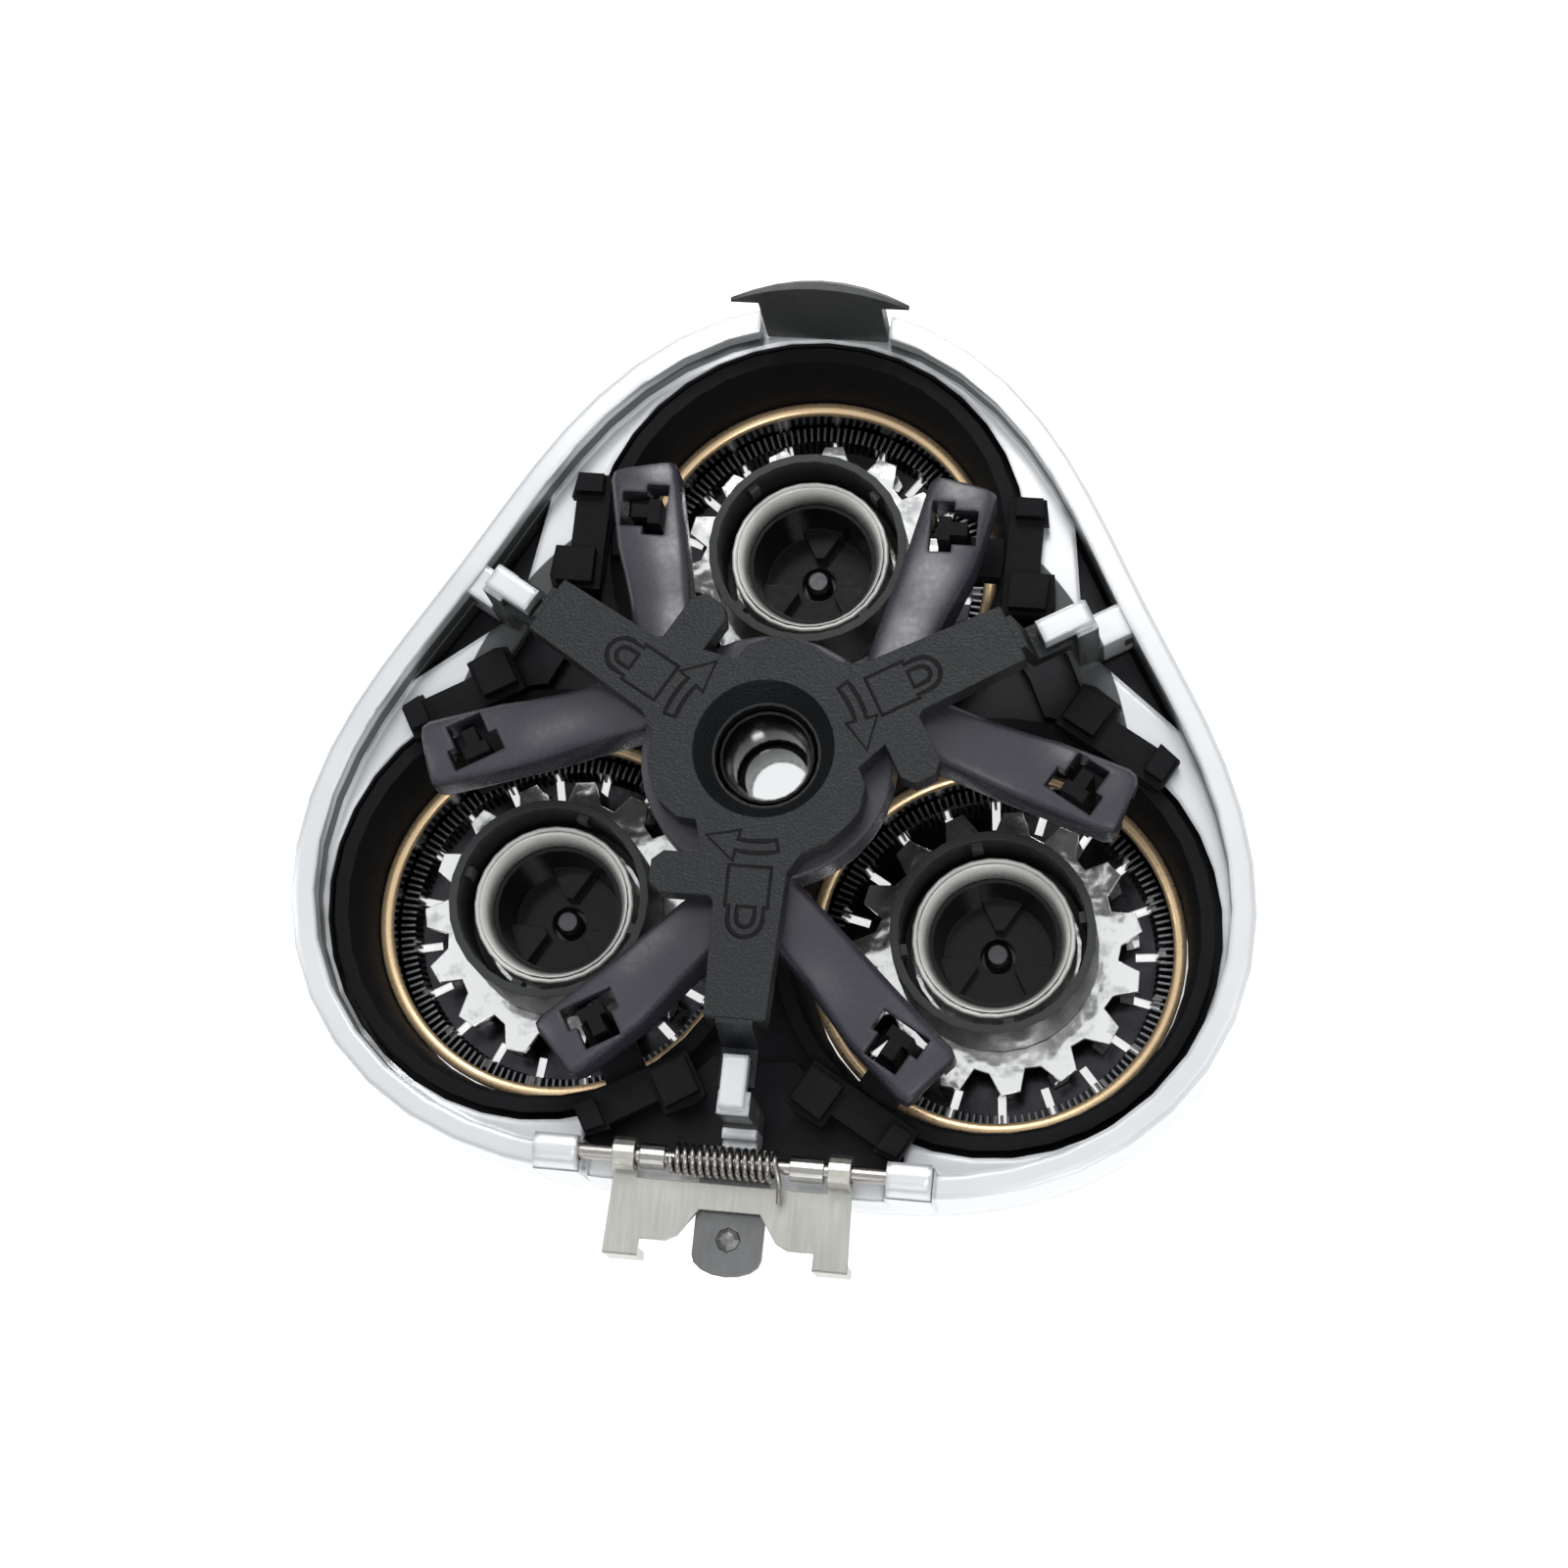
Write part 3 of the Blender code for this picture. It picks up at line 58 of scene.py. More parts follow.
# Stretches of a noise's value over which a finish changes, from none to full
WIDE = (0.25, 0.75)
MEDIUM = (0.3, 0.7)
NARROW = (0.35, 0.65)
STAINS = (0.4, 0.7)
FAINT_STAINS = (0.35, 0.75)
SPOTS = (0.52, 0.68)

# Rounding of edges in the finishes, and how far two normals agree from no edge wear to full wear
EDGE_BEVEL = 0.12 * MM
BEVEL_SAMPLES = 4
EDGE_WEAR = (0.985, 0.80)

# Camera, in millimetres and degrees round the head's axis, with its height from the lock's top face
CAMERA_AZIMUTH = -61.5
CAMERA_TILT = 16.7
CAMERA_ROLL = -5.9
CAMERA_DISTANCE = 213.1
CAMERA_SHIFT = (1.42, -2.44)
CAMERA_LENS = 71.9
CAMERA_SENSOR = 36.0
CAMERA_NEAR = 0.01
CAMERA_FAR = 10.0

# Floor, which glows a little where the camera or a reflection sees it
FLOOR_HALF_SIDE = 1.5
FLOOR_HEIGHT = -0.02 * MM
FLOOR_COLOUR = (0.86, 0.86, 0.86)
FLOOR_ROUGHNESS = 0.9
FLOOR_GLOW = 0.72

# Sky: an even level for the scene's light, and for reflections a dome that brightens with height
SKY_COLOUR = (0.96, 0.98, 1.0)
SKY_EVEN_LEVEL = 0.34
DOME_HEIGHTS = (0.15, 0.95)
DOME_LEVELS = (0.12, 0.95)

# Lights: name, place, width, depth where it is not square, and power
LIGHT_TARGET = (0.0, 0.0, 0.01)
LIGHTS = (
    ("key", (-0.02, 0.38, 0.52), 0.22, None, 1.3),
    ("front", (0.17, -0.31, 0.60), 0.16, None, 0.9),
    ("fill", (0.45, -0.10, 0.42), 0.30, None, 0.5),
    ("side", (-0.48, 0.05, 0.36), 0.10, 0.5, 0.5),
    ("strip", (0.05, -0.55, 0.30), 0.5, 0.10, 0.4),
)

# Outline of the shell round the head's axis, in millimetres: a circle that three lobes swell and shrink
SHELL_RADIUS = 32.57
SHELL_LOBE = 3.74
SHELL_LOBES = 3.0

# Painted shade on the shell, in the groove of the rim, low on its inner walls and on the hooks' posts: each
# a pair of millimetres from where the shade begins to where it is full
GROOVE_OUTER = (1.2, 1.3)
GROOVE_INNER = (2.45, 2.35)
GROOVE_BOTTOM = (10.78, 10.84)
GROOVE_TOP = (12.30, 12.10)
WALL_TOP = (10.66, 10.62)
POST_RADIUS = (24.95, 24.85)
POST_TOP = (17.35, 17.2)

# How far a face of the shell turns to the axis, from where the painted shade begins to where it is full
WALL_FACING = (-0.1, -0.3)

# Height at which a cap's metal goes from its bright face to the painted shade inside
CAP_FACE = (0.25 * MM, 0.40 * MM)

# Signs on the lock: radius of the line, and how deep its middle lies under the face
SIGN_LINE = 0.26 * MM
SIGN_SINK = 0.17 * MM
SIGN_RESOLUTION = 1

# Padlock, in millimetres along a lock arm from the head's axis
PADLOCK_NEAR = 8.3
PADLOCK_FAR = 11.1
PADLOCK_HALF = 1.45
SHACKLE_X = 12.0
SHACKLE_RADIUS = 1.2
SHACKLE_STEPS = 9
HOLE_X = 11.9
HOLE_RADIUS = 0.6
HOLE_STEPS = 7

# Arrow, in millimetres and degrees round the head's axis
ARROW_OUTER = 7.35
ARROW_INNER = 6.55
ARROW_TAIL = 14
ARROW_NECK = -9
ARROW_POINT = -27
ARROW_HEAD_OUTER = 8.1
ARROW_HEAD_POINT = 7.1
ARROW_HEAD_INNER = 5.9
ARROW_STEPS = 7

# Fine comb inside each cap
COMB_TEETH = 150
COMB_INNER = 11.45 * MM
COMB_OUTER = 12.55 * MM
COMB_LOW = 0.75 * MM
COMB_HIGH = 2.1 * MM
COMB_WIDTH = 0.19 * MM
COMB_LEAN = 0.25 * MM
COMB_INSET = 0.1 * MM
# Heights over which the teeth's tips go to the painted highlight
COMB_TIP_HIGHLIGHT = (COMB_HIGH - 0.12 * MM, COMB_HIGH - 0.04 * MM)

# Turned pieces, as (radius, height) in millimetres, and the number of steps round the axis
RING_PROFILE = (
    (12.62, 4.52), (12.62, 4.84), (12.75, 4.97), (13.10, 5.06), (13.42, 5.02), (13.55, 4.90), (13.55, 4.52),
)
RING_STEPS = 120
LINING_PROFILE = ((5.38, 8.56), (5.30, 8.56), (4.70, 6.92), (5.05, 6.92))
LINING_STEPS = 96
PIN_HEAD_PROFILE = (
    (1.4, 9.0), (1.4, 12.75), (2.4, 12.75), (2.4, 13.25), (2.36, 13.35), (2.28, 13.39), (2.2, 13.4),
    (0.6, 13.4), (0.0, 13.4),
)
PIN_HEAD_STEPS = 48

# Torsion spring, in millimetres: the hinge's axis as (y, z), and the tail as (x, y, z) with y and z from it
HINGE_AXIS = (-28.28, 14.8)
SPRING_X = (-4.2, 3.0)
SPRING_RADIUS = 0.95
SPRING_WIRE = 0.20
SPRING_TURNS = 14
SPRING_STEPS = 24
SPRING_RESOLUTION = 3
SPRING_TAIL = ((3.2, -0.6, 0.9), (3.4, -1.3, 0.6), (3.4, -2.4, -0.1))

# Solids that are drawn again with smooth shading: node, then body where it differs by unit, then slot
SMOOTH_ANGLE = math.radians(26)
HOUSING_SMOOTH = (
    ("outer_shell", "silver"),
    ("front_trim", "silver"),
    ("retaining_frame", "grey_frame"),
    ("centre_bush", "gloss_black"),
)
UNIT_SMOOTH = (
    ("cap_holder", "unit", "gloss_black"),
    ("shaving_cap", "unit", "steel"),
    ("cutter_hub", "cutter", "matte_black"),
    ("drive_socket", "cutter", "gloss_black"),
    ("cutter_collar", "cutter", "steel"),
)


def tinted(colour, factor):
    return tuple(channel * factor for channel in colour)


class Nodes:
    """A node tree, with short calls for the nodes that the finishes and the studio share."""

    def __init__(self, tree):
        self.tree = tree
        self.place = None

    def feed(self, socket, value):
        """Links an output to the socket, or sets the socket to a value."""
        if hasattr(value, "is_output"):
            self.tree.links.new(value, socket)
        elif socket.type == "RGBA":
            socket.default_value = (*value, 1.0)
        else:
            socket.default_value = value

    def node(self, kind, inputs=None, **settings):
        made = self.tree.nodes.new(kind)
        for key, value in settings.items():
            setattr(made, key, value)
        for key, value in (inputs or {}).items():
            self.feed(made.inputs[key], value)
        return made

    def maths(self, operation, first, second=0.0, third=0.0):
        made = self.node("ShaderNodeMath", {0: first, 1: second, 2: third}, operation=operation)
        return made.outputs[0]

    def split(self, vector):
        return self.node("ShaderNodeSeparateXYZ", {0: vector}).outputs

    def dot(self, first, second):
        made = self.node("ShaderNodeVectorMath", {0: first, 1: second}, operation="DOT_PRODUCT")
        return made.outputs["Value"]

    def noise(self, scale, detail=3.0, stretch=None, roughness=0.5):
        place = self.place
        if stretch:
            place = self.node("ShaderNodeMapping", {"Vector": place, "Scale": stretch}).outputs[0]
        inputs = {"Vector": place, "Scale": scale, "Detail": detail, "Roughness": roughness}
        return self.node("ShaderNodeTexNoise", inputs).outputs[0]

    def ramp(self, value, low, high, first=0.0, last=1.0):
        inputs = {"Value": value, "From Min": low, "From Max": high, "To Min": first, "To Max": last}
        return self.node("ShaderNodeMapRange", inputs, clamp=True).outputs[0]

    def mix(self, factor, first, second):
        made = self.node("ShaderNodeMix", data_type="RGBA")
        for index, value in ((0, factor), (6, first), (7, second)):
            self.feed(made.inputs[index], value)
        return made.outputs[2]


class Shader(Nodes):
    """A material's node tree round its principled surface."""

    def __init__(self, name):
        self.material = bpy.data.materials.new(name)
        self.material.use_nodes = True
        super().__init__(self.material.node_tree)
        self.surface = self.tree.nodes["Principled BSDF"]
        self.place = self.node("ShaderNodeTexCoord").outputs["Object"]

    def edges(self, radius):
        """1 on a sharp edge and 0 away from it, from a bevel of that radius."""
        bevel = self.node("ShaderNodeBevel", {"Radius": radius}, samples=BEVEL_SAMPLES).outputs[0]
        normal = self.node("ShaderNodeNewGeometry").outputs["Normal"]
        return self.ramp(self.dot(bevel, normal), *EDGE_WEAR)

    def finish(self, colour, roughness, bump, height, metallic=0.0, bevel=EDGE_BEVEL, shine=0.5):
        """Feeds the surface, with rounded edges under the bump and a shine that is its specular level."""
        rounded = self.node("ShaderNodeBevel", {"Radius": bevel}, samples=BEVEL_SAMPLES).outputs[0]
        inputs = {"Height": bump, "Distance": height, "Strength": 1.0, "Normal": rounded}
        normal = self.node("ShaderNodeBump", inputs).outputs[0]
        values = {"Base Color": colour, "Roughness": roughness, "Metallic": metallic,
                  "Specular IOR Level": shine, "Normal": normal}
        for key, value in values.items():
            self.feed(self.surface.inputs[key], value)
        return self.material


def grain_black(name, colour, roughness, grain, scale, shine):
    """Moulded black plastic with a fine spark-eroded grain and paler rubbed edges."""
    shader = Shader(name)
    fine = shader.noise(scale, detail=2.0)
    broad = shader.noise(140.0, detail=4.0)
    tone = shader.mix(shader.ramp(broad, *MEDIUM), colour, tinted(colour, 1.35))
    worn = shader.maths("MULTIPLY", shader.edges(0.10 * MM), 0.5)
    tone = shader.mix(worn, tone, tuple(channel * 2.6 + 0.01 for channel in colour))
    rough = shader.ramp(fine, *MEDIUM, roughness - 0.07, roughness + 0.07)
    return shader.finish(tone, rough, fine, grain, shine=shine)


def moulded(name, colour, roughness, wave, shine, bevel=EDGE_BEVEL):
    """Smooth moulded plastic with a faint waviness and roughness that varies over the piece."""
    shader = Shader(name)
    broad = shader.noise(260.0, detail=3.0)
    fine = shader.noise(2600.0, detail=4.0)
    tone = shader.mix(shader.ramp(broad, *WIDE), colour, tinted(colour, 1.25))
    rough = shader.ramp(fine, *MEDIUM, roughness - 0.04, roughness + 0.06)
    height = shader.maths("ADD", broad, shader.maths("MULTIPLY", fine, 0.12))
    return shader.finish(tone, rough, height, wave, bevel=bevel, shine=shine)


def metal(name, colour, roughness, scale, stretch=(1.0, 1.0, 1.0), depth=0.004 * MM, dark=0.75,
          metallic=1.0):
    """Metal with drawn or ground lines and slight staining."""
    shader = Shader(name)
    lines = shader.noise(scale, detail=4.0, stretch=stretch, roughness=0.65)
    stains = shader.noise(190.0, detail=4.0)
    tone = shader.mix(shader.ramp(stains, *FAINT_STAINS), colour, tinted(colour, dark))
    rough = shader.ramp(lines, *WIDE, roughness * 0.7, roughness * 1.4)
    return shader.finish(tone, rough, lines, depth, metallic)


def cutter_metal(name, clean, stained):
    """Polished steel with a soft waviness, so that it mirrors both the bright and the dark around it."""
    shader = Shader(name)
    waves = shader.noise(420.0, detail=2.0, roughness=0.4)
    lines = shader.noise(3600.0, detail=4.0, roughness=0.65)
    stains = shader.noise(700.0, detail=4.0)
    tone = shader.mix(shader.ramp(stains, *SPOTS), clean, stained)
    rough = shader.ramp(lines, *WIDE, 0.07, 0.16)
    height = shader.maths("ADD", waves, shader.maths("MULTIPLY", lines, 0.02))
    return shader.finish(tone, rough, height, 0.16 * MM, metallic=0.8)


def turned_metal(name, colour, roughness):
    """Pale satin metal with faint turning rings, so that it stays bright inside a dark tube."""
    shader = Shader(name)
    rings = shader.noise(2600.0, detail=3.0, stretch=(1.0, 1.0, 4.0), roughness=0.6)
    stains = shader.noise(260.0, detail=3.0)
    tone = shader.mix(shader.ramp(stains, *STAINS), colour, tinted(colour, 0.86))
    rough = shader.ramp(rings, *MEDIUM, roughness - 0.06, roughness + 0.08)
    return shader.finish(tone, rough, rings, 0.003 * MM, metallic=0.15)


def cap_metal(name, outside, inside):
    """Ground steel that is bright on the shaving face, with painted shade and faint stains inside the cap.
    """
    shader = Shader(name)
    height = shader.split(shader.place)[2]
    lines = shader.noise(3000.0, detail=4.0, roughness=0.65)
    stains = shader.noise(420.0, detail=4.0)
    dull = shader.mix(shader.ramp(stains, *STAINS), inside, tinted(inside, 0.5))
    # Below the face the steel takes the painted shade of the cap's inside
    tone = shader.mix(shader.ramp(height, *CAP_FACE), outside, dull)
    rough = shader.ramp(lines, *WIDE, 0.14, 0.28)
    return shader.finish(tone, rough, lines, 0.004 * MM, metallic=1.0)


def comb_metal(name, clean, stained, tip_highlight):
    """Steel teeth darkened as painted shade, with stains and a painted highlight on their tips."""
    shader = Shader(name)
    height = shader.split(shader.place)[2]
    stains = shader.noise(900.0, detail=3.0)
    body = shader.mix(shader.ramp(stains, *STAINS), clean, stained)
    # The tips take the painted highlight over the shaded body
    tone = shader.mix(shader.ramp(height, *COMB_TIP_HIGHLIGHT), body, tip_highlight)
    rough = shader.ramp(stains, *MEDIUM, 0.22, 0.36)
    return shader.finish(tone, rough, stains, 0.004 * MM, metallic=0.8)


def silver_lacquer(name, bright, dull, painted_shade):
    """Silver lacquer, with painted shade in the groove of the rim, low on the inner walls and on the hooks'
    posts.
    """
    shader = Shader(name)

    def fade(value, pair):
        return shader.ramp(value, pair[0] * MM, pair[1] * MM)

    x, y, z = shader.split(shader.place)
    y = shader.maths("SUBTRACT", y, HEAD_Y)
    square = shader.maths("ADD", shader.maths("MULTIPLY", x, x), shader.maths("MULTIPLY", y, y))
    radius = shader.maths("SQRT", square)
    angle = shader.maths("ARCTAN2", y, x)
    turn = shader.maths("MULTIPLY_ADD", angle, SHELL_LOBES, -SHELL_LOBES * math.pi / 2)
    lobes = shader.maths("COSINE", turn)
    outline = shader.maths("MULTIPLY_ADD", lobes, SHELL_LOBE * MM, SHELL_RADIUS * MM)
    inset = shader.maths("SUBTRACT", outline, radius)

    groove = shader.maths("MULTIPLY", fade(inset, GROOVE_OUTER), fade(inset, GROOVE_INNER))
    groove = shader.maths("MULTIPLY", groove, fade(z, GROOVE_BOTTOM))
    groove = shader.maths("MULTIPLY", groove, fade(z, GROOVE_TOP))
    facing = shader.dot(shader.node("ShaderNodeNewGeometry").outputs["True Normal"], shader.place)
    walls = shader.ramp(shader.maths("DIVIDE", facing, radius), *WALL_FACING)
    walls = shader.maths("MULTIPLY", walls, fade(z, WALL_TOP))
    posts = shader.maths("MULTIPLY", fade(radius, POST_RADIUS), fade(z, POST_TOP))
    # The mask of painted shade over the groove, the low inner walls and the posts
    dark = shader.maths("MAXIMUM", groove, shader.maths("MAXIMUM", walls, posts))

    fine = shader.noise(5200.0, detail=2.0)
    broad = shader.noise(90.0, detail=3.0)
    tone = shader.mix(shader.ramp(broad, *NARROW), bright, dull)
    # Where the mask is full, the lacquer takes the colour of the painted shade
    tone = shader.mix(dark, tone, painted_shade)
    rough = shader.ramp(fine, *MEDIUM, 0.24, 0.27)
    rough = shader.maths("ADD", rough, shader.maths("MULTIPLY", dark, 0.12))
    metallic = shader.ramp(dark, 0.0, 1.0, 0.45, 0.0)
    return shader.finish(tone, rough, broad, 0.004 * MM, metallic, bevel=0.6 * MM)


def centre_of(node):
    low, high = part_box(node)
    return [(a + b) / 2 for a, b in zip(low, high)]


def each(name):
    return [f"{name}_{unit}" for unit in UNITS]


def assign(material, *nodes):
    for node in nodes:
        for slot in bpy.data.objects[node].material_slots:
            slot.material = material


def placed(name, data):
    obj = bpy.data.objects.new(name, data)
    bpy.context.scene.collection.objects.link(obj)
    return obj


def piece(name, data, material, body):
    """A new piece from a mesh or a curve, with its finish, that moves with a body."""
    obj = placed(name, data)
    obj.data.materials.clear()
    obj.data.materials.append(material)
    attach(obj, body)
    return obj


def softened(node, body):
    """The solid again with its curved faces shaded smooth, in its place."""
    source = bpy.data.objects[node]
    mesh = source.data.copy()
    shape = bmesh.new()
    shape.from_mesh(mesh)
    bmesh.ops.remove_doubles(shape, verts=shape.verts, dist=MERGE_DISTANCE)
    shape.to_mesh(mesh)
    shape.free()
    if "custom_normal" in mesh.attributes:
        mesh.attributes.remove(mesh.attributes["custom_normal"])
    mesh.shade_smooth()
    mesh.set_sharp_from_angle(angle=SMOOTH_ANGLE)
    copy = piece(f"smooth_{node}", mesh, source.material_slots[0].material, body)
    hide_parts(node)


def camera():
    az, tilt, roll = (math.radians(v) for v in (CAMERA_AZIMUTH, CAMERA_TILT, CAMERA_ROLL))
    back = Vector((math.cos(az) * math.sin(tilt), math.sin(az) * math.sin(tilt), math.cos(tilt)))
    right = Vector((math.sin(roll), math.cos(roll), 0.0)).cross(back).normalized()
    up = back.cross(right)
    place = CAMERA_SHIFT[0] * right + CAMERA_SHIFT[1] * up + CAMERA_DISTANCE * back
    made = bpy.data.cameras.new("camera")
    made.lens = CAMERA_LENS
    made.sensor_width = CAMERA_SENSOR
    made.clip_start = CAMERA_NEAR
    made.clip_end = CAMERA_FAR
    obj = placed("camera", made)
    turn = Matrix((right, up, back)).transposed().to_4x4()
    obj.matrix_world = Matrix.Translation(place * MM + Vector((0.0, HEAD_Y, LOCK_TOP))) @ turn
    bpy.context.scene.camera = obj


def area_light(name, place, width, depth, power):
    light = bpy.data.lights.new(name, "AREA")
    light.energy = power
    light.size = width
    if depth:
        light.shape = "RECTANGLE"
        light.size_y = depth
    obj = placed(name, light)
    obj.location = place
    aim = Vector(LIGHT_TARGET) - Vector(place)
    obj.rotation_euler = aim.to_track_quat("-Z", "Y").to_euler()


def floor():
    """The pale floor, which is clear when it is seen from below."""
    shape = bmesh.new()
    bmesh.ops.create_grid(shape, x_segments=1, y_segments=1, size=FLOOR_HALF_SIDE)
    mesh = bpy.data.meshes.new("floor")
    shape.to_mesh(mesh)
    shape.free()
    obj = placed("floor", mesh)
    obj.location.z = FLOOR_HEIGHT
    shader = Shader("floor_white")
    shader.feed(shader.surface.inputs["Base Color"], FLOOR_COLOUR)
    shader.feed(shader.surface.inputs["Roughness"], FLOOR_ROUGHNESS)
    plain = shader.surface.outputs[0]
    rays = shader.node("ShaderNodeLightPath").outputs
    seen = shader.maths("MAXIMUM", rays["Is Camera Ray"], rays["Is Glossy Ray"])
    glow = shader.node("ShaderNodeEmission", {"Color": (1.0, 1.0, 1.0), "Strength": FLOOR_GLOW}).outputs[0]
    glowing = shader.node("ShaderNodeAddShader", {0: plain, 1: glow}).outputs[0]
    above = shader.node("ShaderNodeMixShader", {0: seen, 1: plain, 2: glowing}).outputs[0]
    below = shader.node("ShaderNodeNewGeometry").outputs["Backfacing"]
    clear = shader.node("ShaderNodeBsdfTransparent").outputs[0]
    surface = shader.node("ShaderNodeMixShader", {0: below, 1: above, 2: clear}).outputs[0]
    shader.feed(shader.tree.nodes["Material Output"].inputs["Surface"], surface)
    obj.data.materials.append(shader.material)


def sky():
    world = bpy.data.worlds.new("studio")
    bpy.context.scene.world = world
    world.use_nodes = True
    nodes = Nodes(world.node_tree)
    rays = nodes.node("ShaderNodeLightPath").outputs
    height = nodes.split(nodes.node("ShaderNodeTexCoord").outputs["Generated"])[2]
    dome = nodes.ramp(height, *DOME_HEIGHTS, *DOME_LEVELS)
    level = nodes.node("ShaderNodeMix", {0: rays["Is Glossy Ray"], 2: SKY_EVEN_LEVEL, 3: dome}).outputs[0]
    level = nodes.maths("MAXIMUM", rays["Is Camera Ray"], level)
    background = nodes.tree.nodes["Background"]
    nodes.feed(background.inputs["Strength"], level)
    nodes.feed(background.inputs["Color"], SKY_COLOUR)


def wires(name, lines, radius, resolution, closed, material, body):
    """Round wires along lines of (x, y, z), all in one piece."""
    curve = bpy.data.curves.new(name, "CURVE")
    curve.dimensions = "3D"
    curve.bevel_depth = radius
    curve.bevel_resolution = resolution
    curve.use_fill_caps = not closed
    for line in lines:
        spline = curve.splines.new("POLY")
        spline.points.add(len(line) - 1)
        spline.use_cyclic_u = closed
        for point, place in zip(spline.points, line):
            point.co = (*place, 1.0)
    return piece(name, curve, material, body)


def polar(radius, degrees, middle=0.0):
    """The point (x, y) on a circle whose centre lies on the X axis."""
    angle = math.radians(degrees)
    return middle + radius * math.cos(angle), radius * math.sin(angle)


def arc(radius, first, last, count, middle=0.0):
    return [polar(radius, first + (last - first) * i / (count - 1), middle) for i in range(count)]


def padlock():
    """The outline of a padlock along +X, and of the hole in its shackle."""
    shackle = arc(SHACKLE_RADIUS, -90, 90, SHACKLE_STEPS, SHACKLE_X)
    outer = [(PADLOCK_NEAR, -PADLOCK_HALF), (PADLOCK_FAR, -PADLOCK_HALF), (PADLOCK_FAR, -SHACKLE_RADIUS),
             *shackle,
             (PADLOCK_FAR, SHACKLE_RADIUS), (PADLOCK_FAR, PADLOCK_HALF), (PADLOCK_NEAR, PADLOCK_HALF)]
    bend = arc(HOLE_RADIUS, -90, 90, HOLE_STEPS, HOLE_X)
    hole = [(PADLOCK_FAR, -HOLE_RADIUS), *bend, (PADLOCK_FAR, HOLE_RADIUS)]
    return [outer, hole]


def arrow():
    """A curved arrow round the funnel that points the way the lock closes."""
    out = arc(ARROW_OUTER, ARROW_TAIL, ARROW_NECK, ARROW_STEPS)
    head = [polar(ARROW_HEAD_OUTER, ARROW_NECK), polar(ARROW_HEAD_POINT, ARROW_POINT),
            polar(ARROW_HEAD_INNER, ARROW_NECK)]
    back = arc(ARROW_INNER, ARROW_NECK, ARROW_TAIL, ARROW_STEPS)
    return [out + head + back]


def lock_signs(material):
    """The raised lines of a padlock and an arrow on each arm of the lock."""
    height = LOCK_TOP - SIGN_SINK
    loops = []
    for angle in LOCK_ANGLES:
        c, s = math.cos(math.radians(angle)), math.sin(math.radians(angle))
        for loop in padlock() + arrow():
            loops.append([((x * c - y * s) * MM, (x * s + y * c) * MM + HEAD_Y, height) for x, y in loop])
    wires("lock_signs", loops, SIGN_LINE, SIGN_RESOLUTION, True, material, "lock")


def spring(material):
    """The torsion spring again with round turns, in the place of the coarser solid."""
    count = SPRING_TURNS * SPRING_STEPS
    first, last = SPRING_X
    y, z = HINGE_AXIS
    points = []
    for i in range(count + 1):
        angle = 2 * math.pi * i / SPRING_STEPS
        x = first + (last - first) * i / count
        points.append((x, y - SPRING_RADIUS * math.sin(angle), z + SPRING_RADIUS * math.cos(angle)))
    points += [(x, y + dy, z + dz) for x, dy, dz in SPRING_TAIL]
    line = [tuple(v * MM for v in point) for point in points]
    radius = SPRING_WIRE * MM
    obj = wires("fine_spring", [line], radius, SPRING_RESOLUTION, False, material, "plate")
    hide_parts("hinge_spring")


def turned(profile, centre, steps, closed=True):
    """A profile of (radius, height) in millimetres turned round a vertical axis."""
    shape = bmesh.new()
    rings = []
    for i in range(steps):
        angle = 2 * math.pi * i / steps
        c, s = math.cos(angle), math.sin(angle)
        ring = [(centre[0] + r * MM * c, centre[1] + r * MM * s, z * MM) for r, z in profile]
        rings.append([shape.verts.new(point) for point in ring])
    last = len(profile) if closed else len(profile) - 1
    for i, ring in enumerate(rings):
        after = rings[(i + 1) % steps]
        for j in range(last):
            k = (j + 1) % len(profile)
            shape.faces.new((ring[j], after[j], after[k], ring[k]))
    bmesh.ops.remove_doubles(shape, verts=shape.verts, dist=MERGE_DISTANCE)
    bmesh.ops.recalc_face_normals(shape, faces=shape.faces)
    mesh = bpy.data.meshes.new("turned")
    shape.to_mesh(mesh)
    shape.free()
    mesh.shade_smooth()
    return mesh


def pin_head(material):
    """The bright end of the pin down inside the central tube."""
    mesh = turned(PIN_HEAD_PROFILE, (0.0, HEAD_Y), PIN_HEAD_STEPS, closed=False)
    piece("centre_pin_head", mesh, material, "housing")


def comb(unit, material):
    """The fine teeth round the inside of a cap, between its slotted track and its wall."""
    x, y, _ = centre_of(f"shaving_cap_{unit}")
    size = (COMB_OUTER - COMB_INNER, COMB_WIDTH, COMB_HIGH - COMB_LOW)
    middle = ((COMB_INNER + COMB_OUTER) / 2 - COMB_INSET, 0.0, (COMB_LOW + COMB_HIGH) / 2)
    shape = bmesh.new()
    for i in range(COMB_TEETH):
        made = bmesh.ops.create_cube(shape, size=1.0)["verts"]
        bmesh.ops.scale(shape, vec=size, verts=made)
        for vert in made:
            if vert.co.z > 0:
                vert.co.x += COMB_LEAN
        bmesh.ops.translate(shape, vec=middle, verts=made)
        turn = Matrix.Rotation(2 * math.pi * i / COMB_TEETH, 3, "Z")
        bmesh.ops.rotate(shape, cent=(0, 0, 0), matrix=turn, verts=made)
    bmesh.ops.translate(shape, vec=(x, y, 0.0), verts=shape.verts)
    mesh = bpy.data.meshes.new("comb")
    shape.to_mesh(mesh)
    shape.free()
    piece(f"cap_comb_{unit}", mesh, material, f"unit_{unit}")


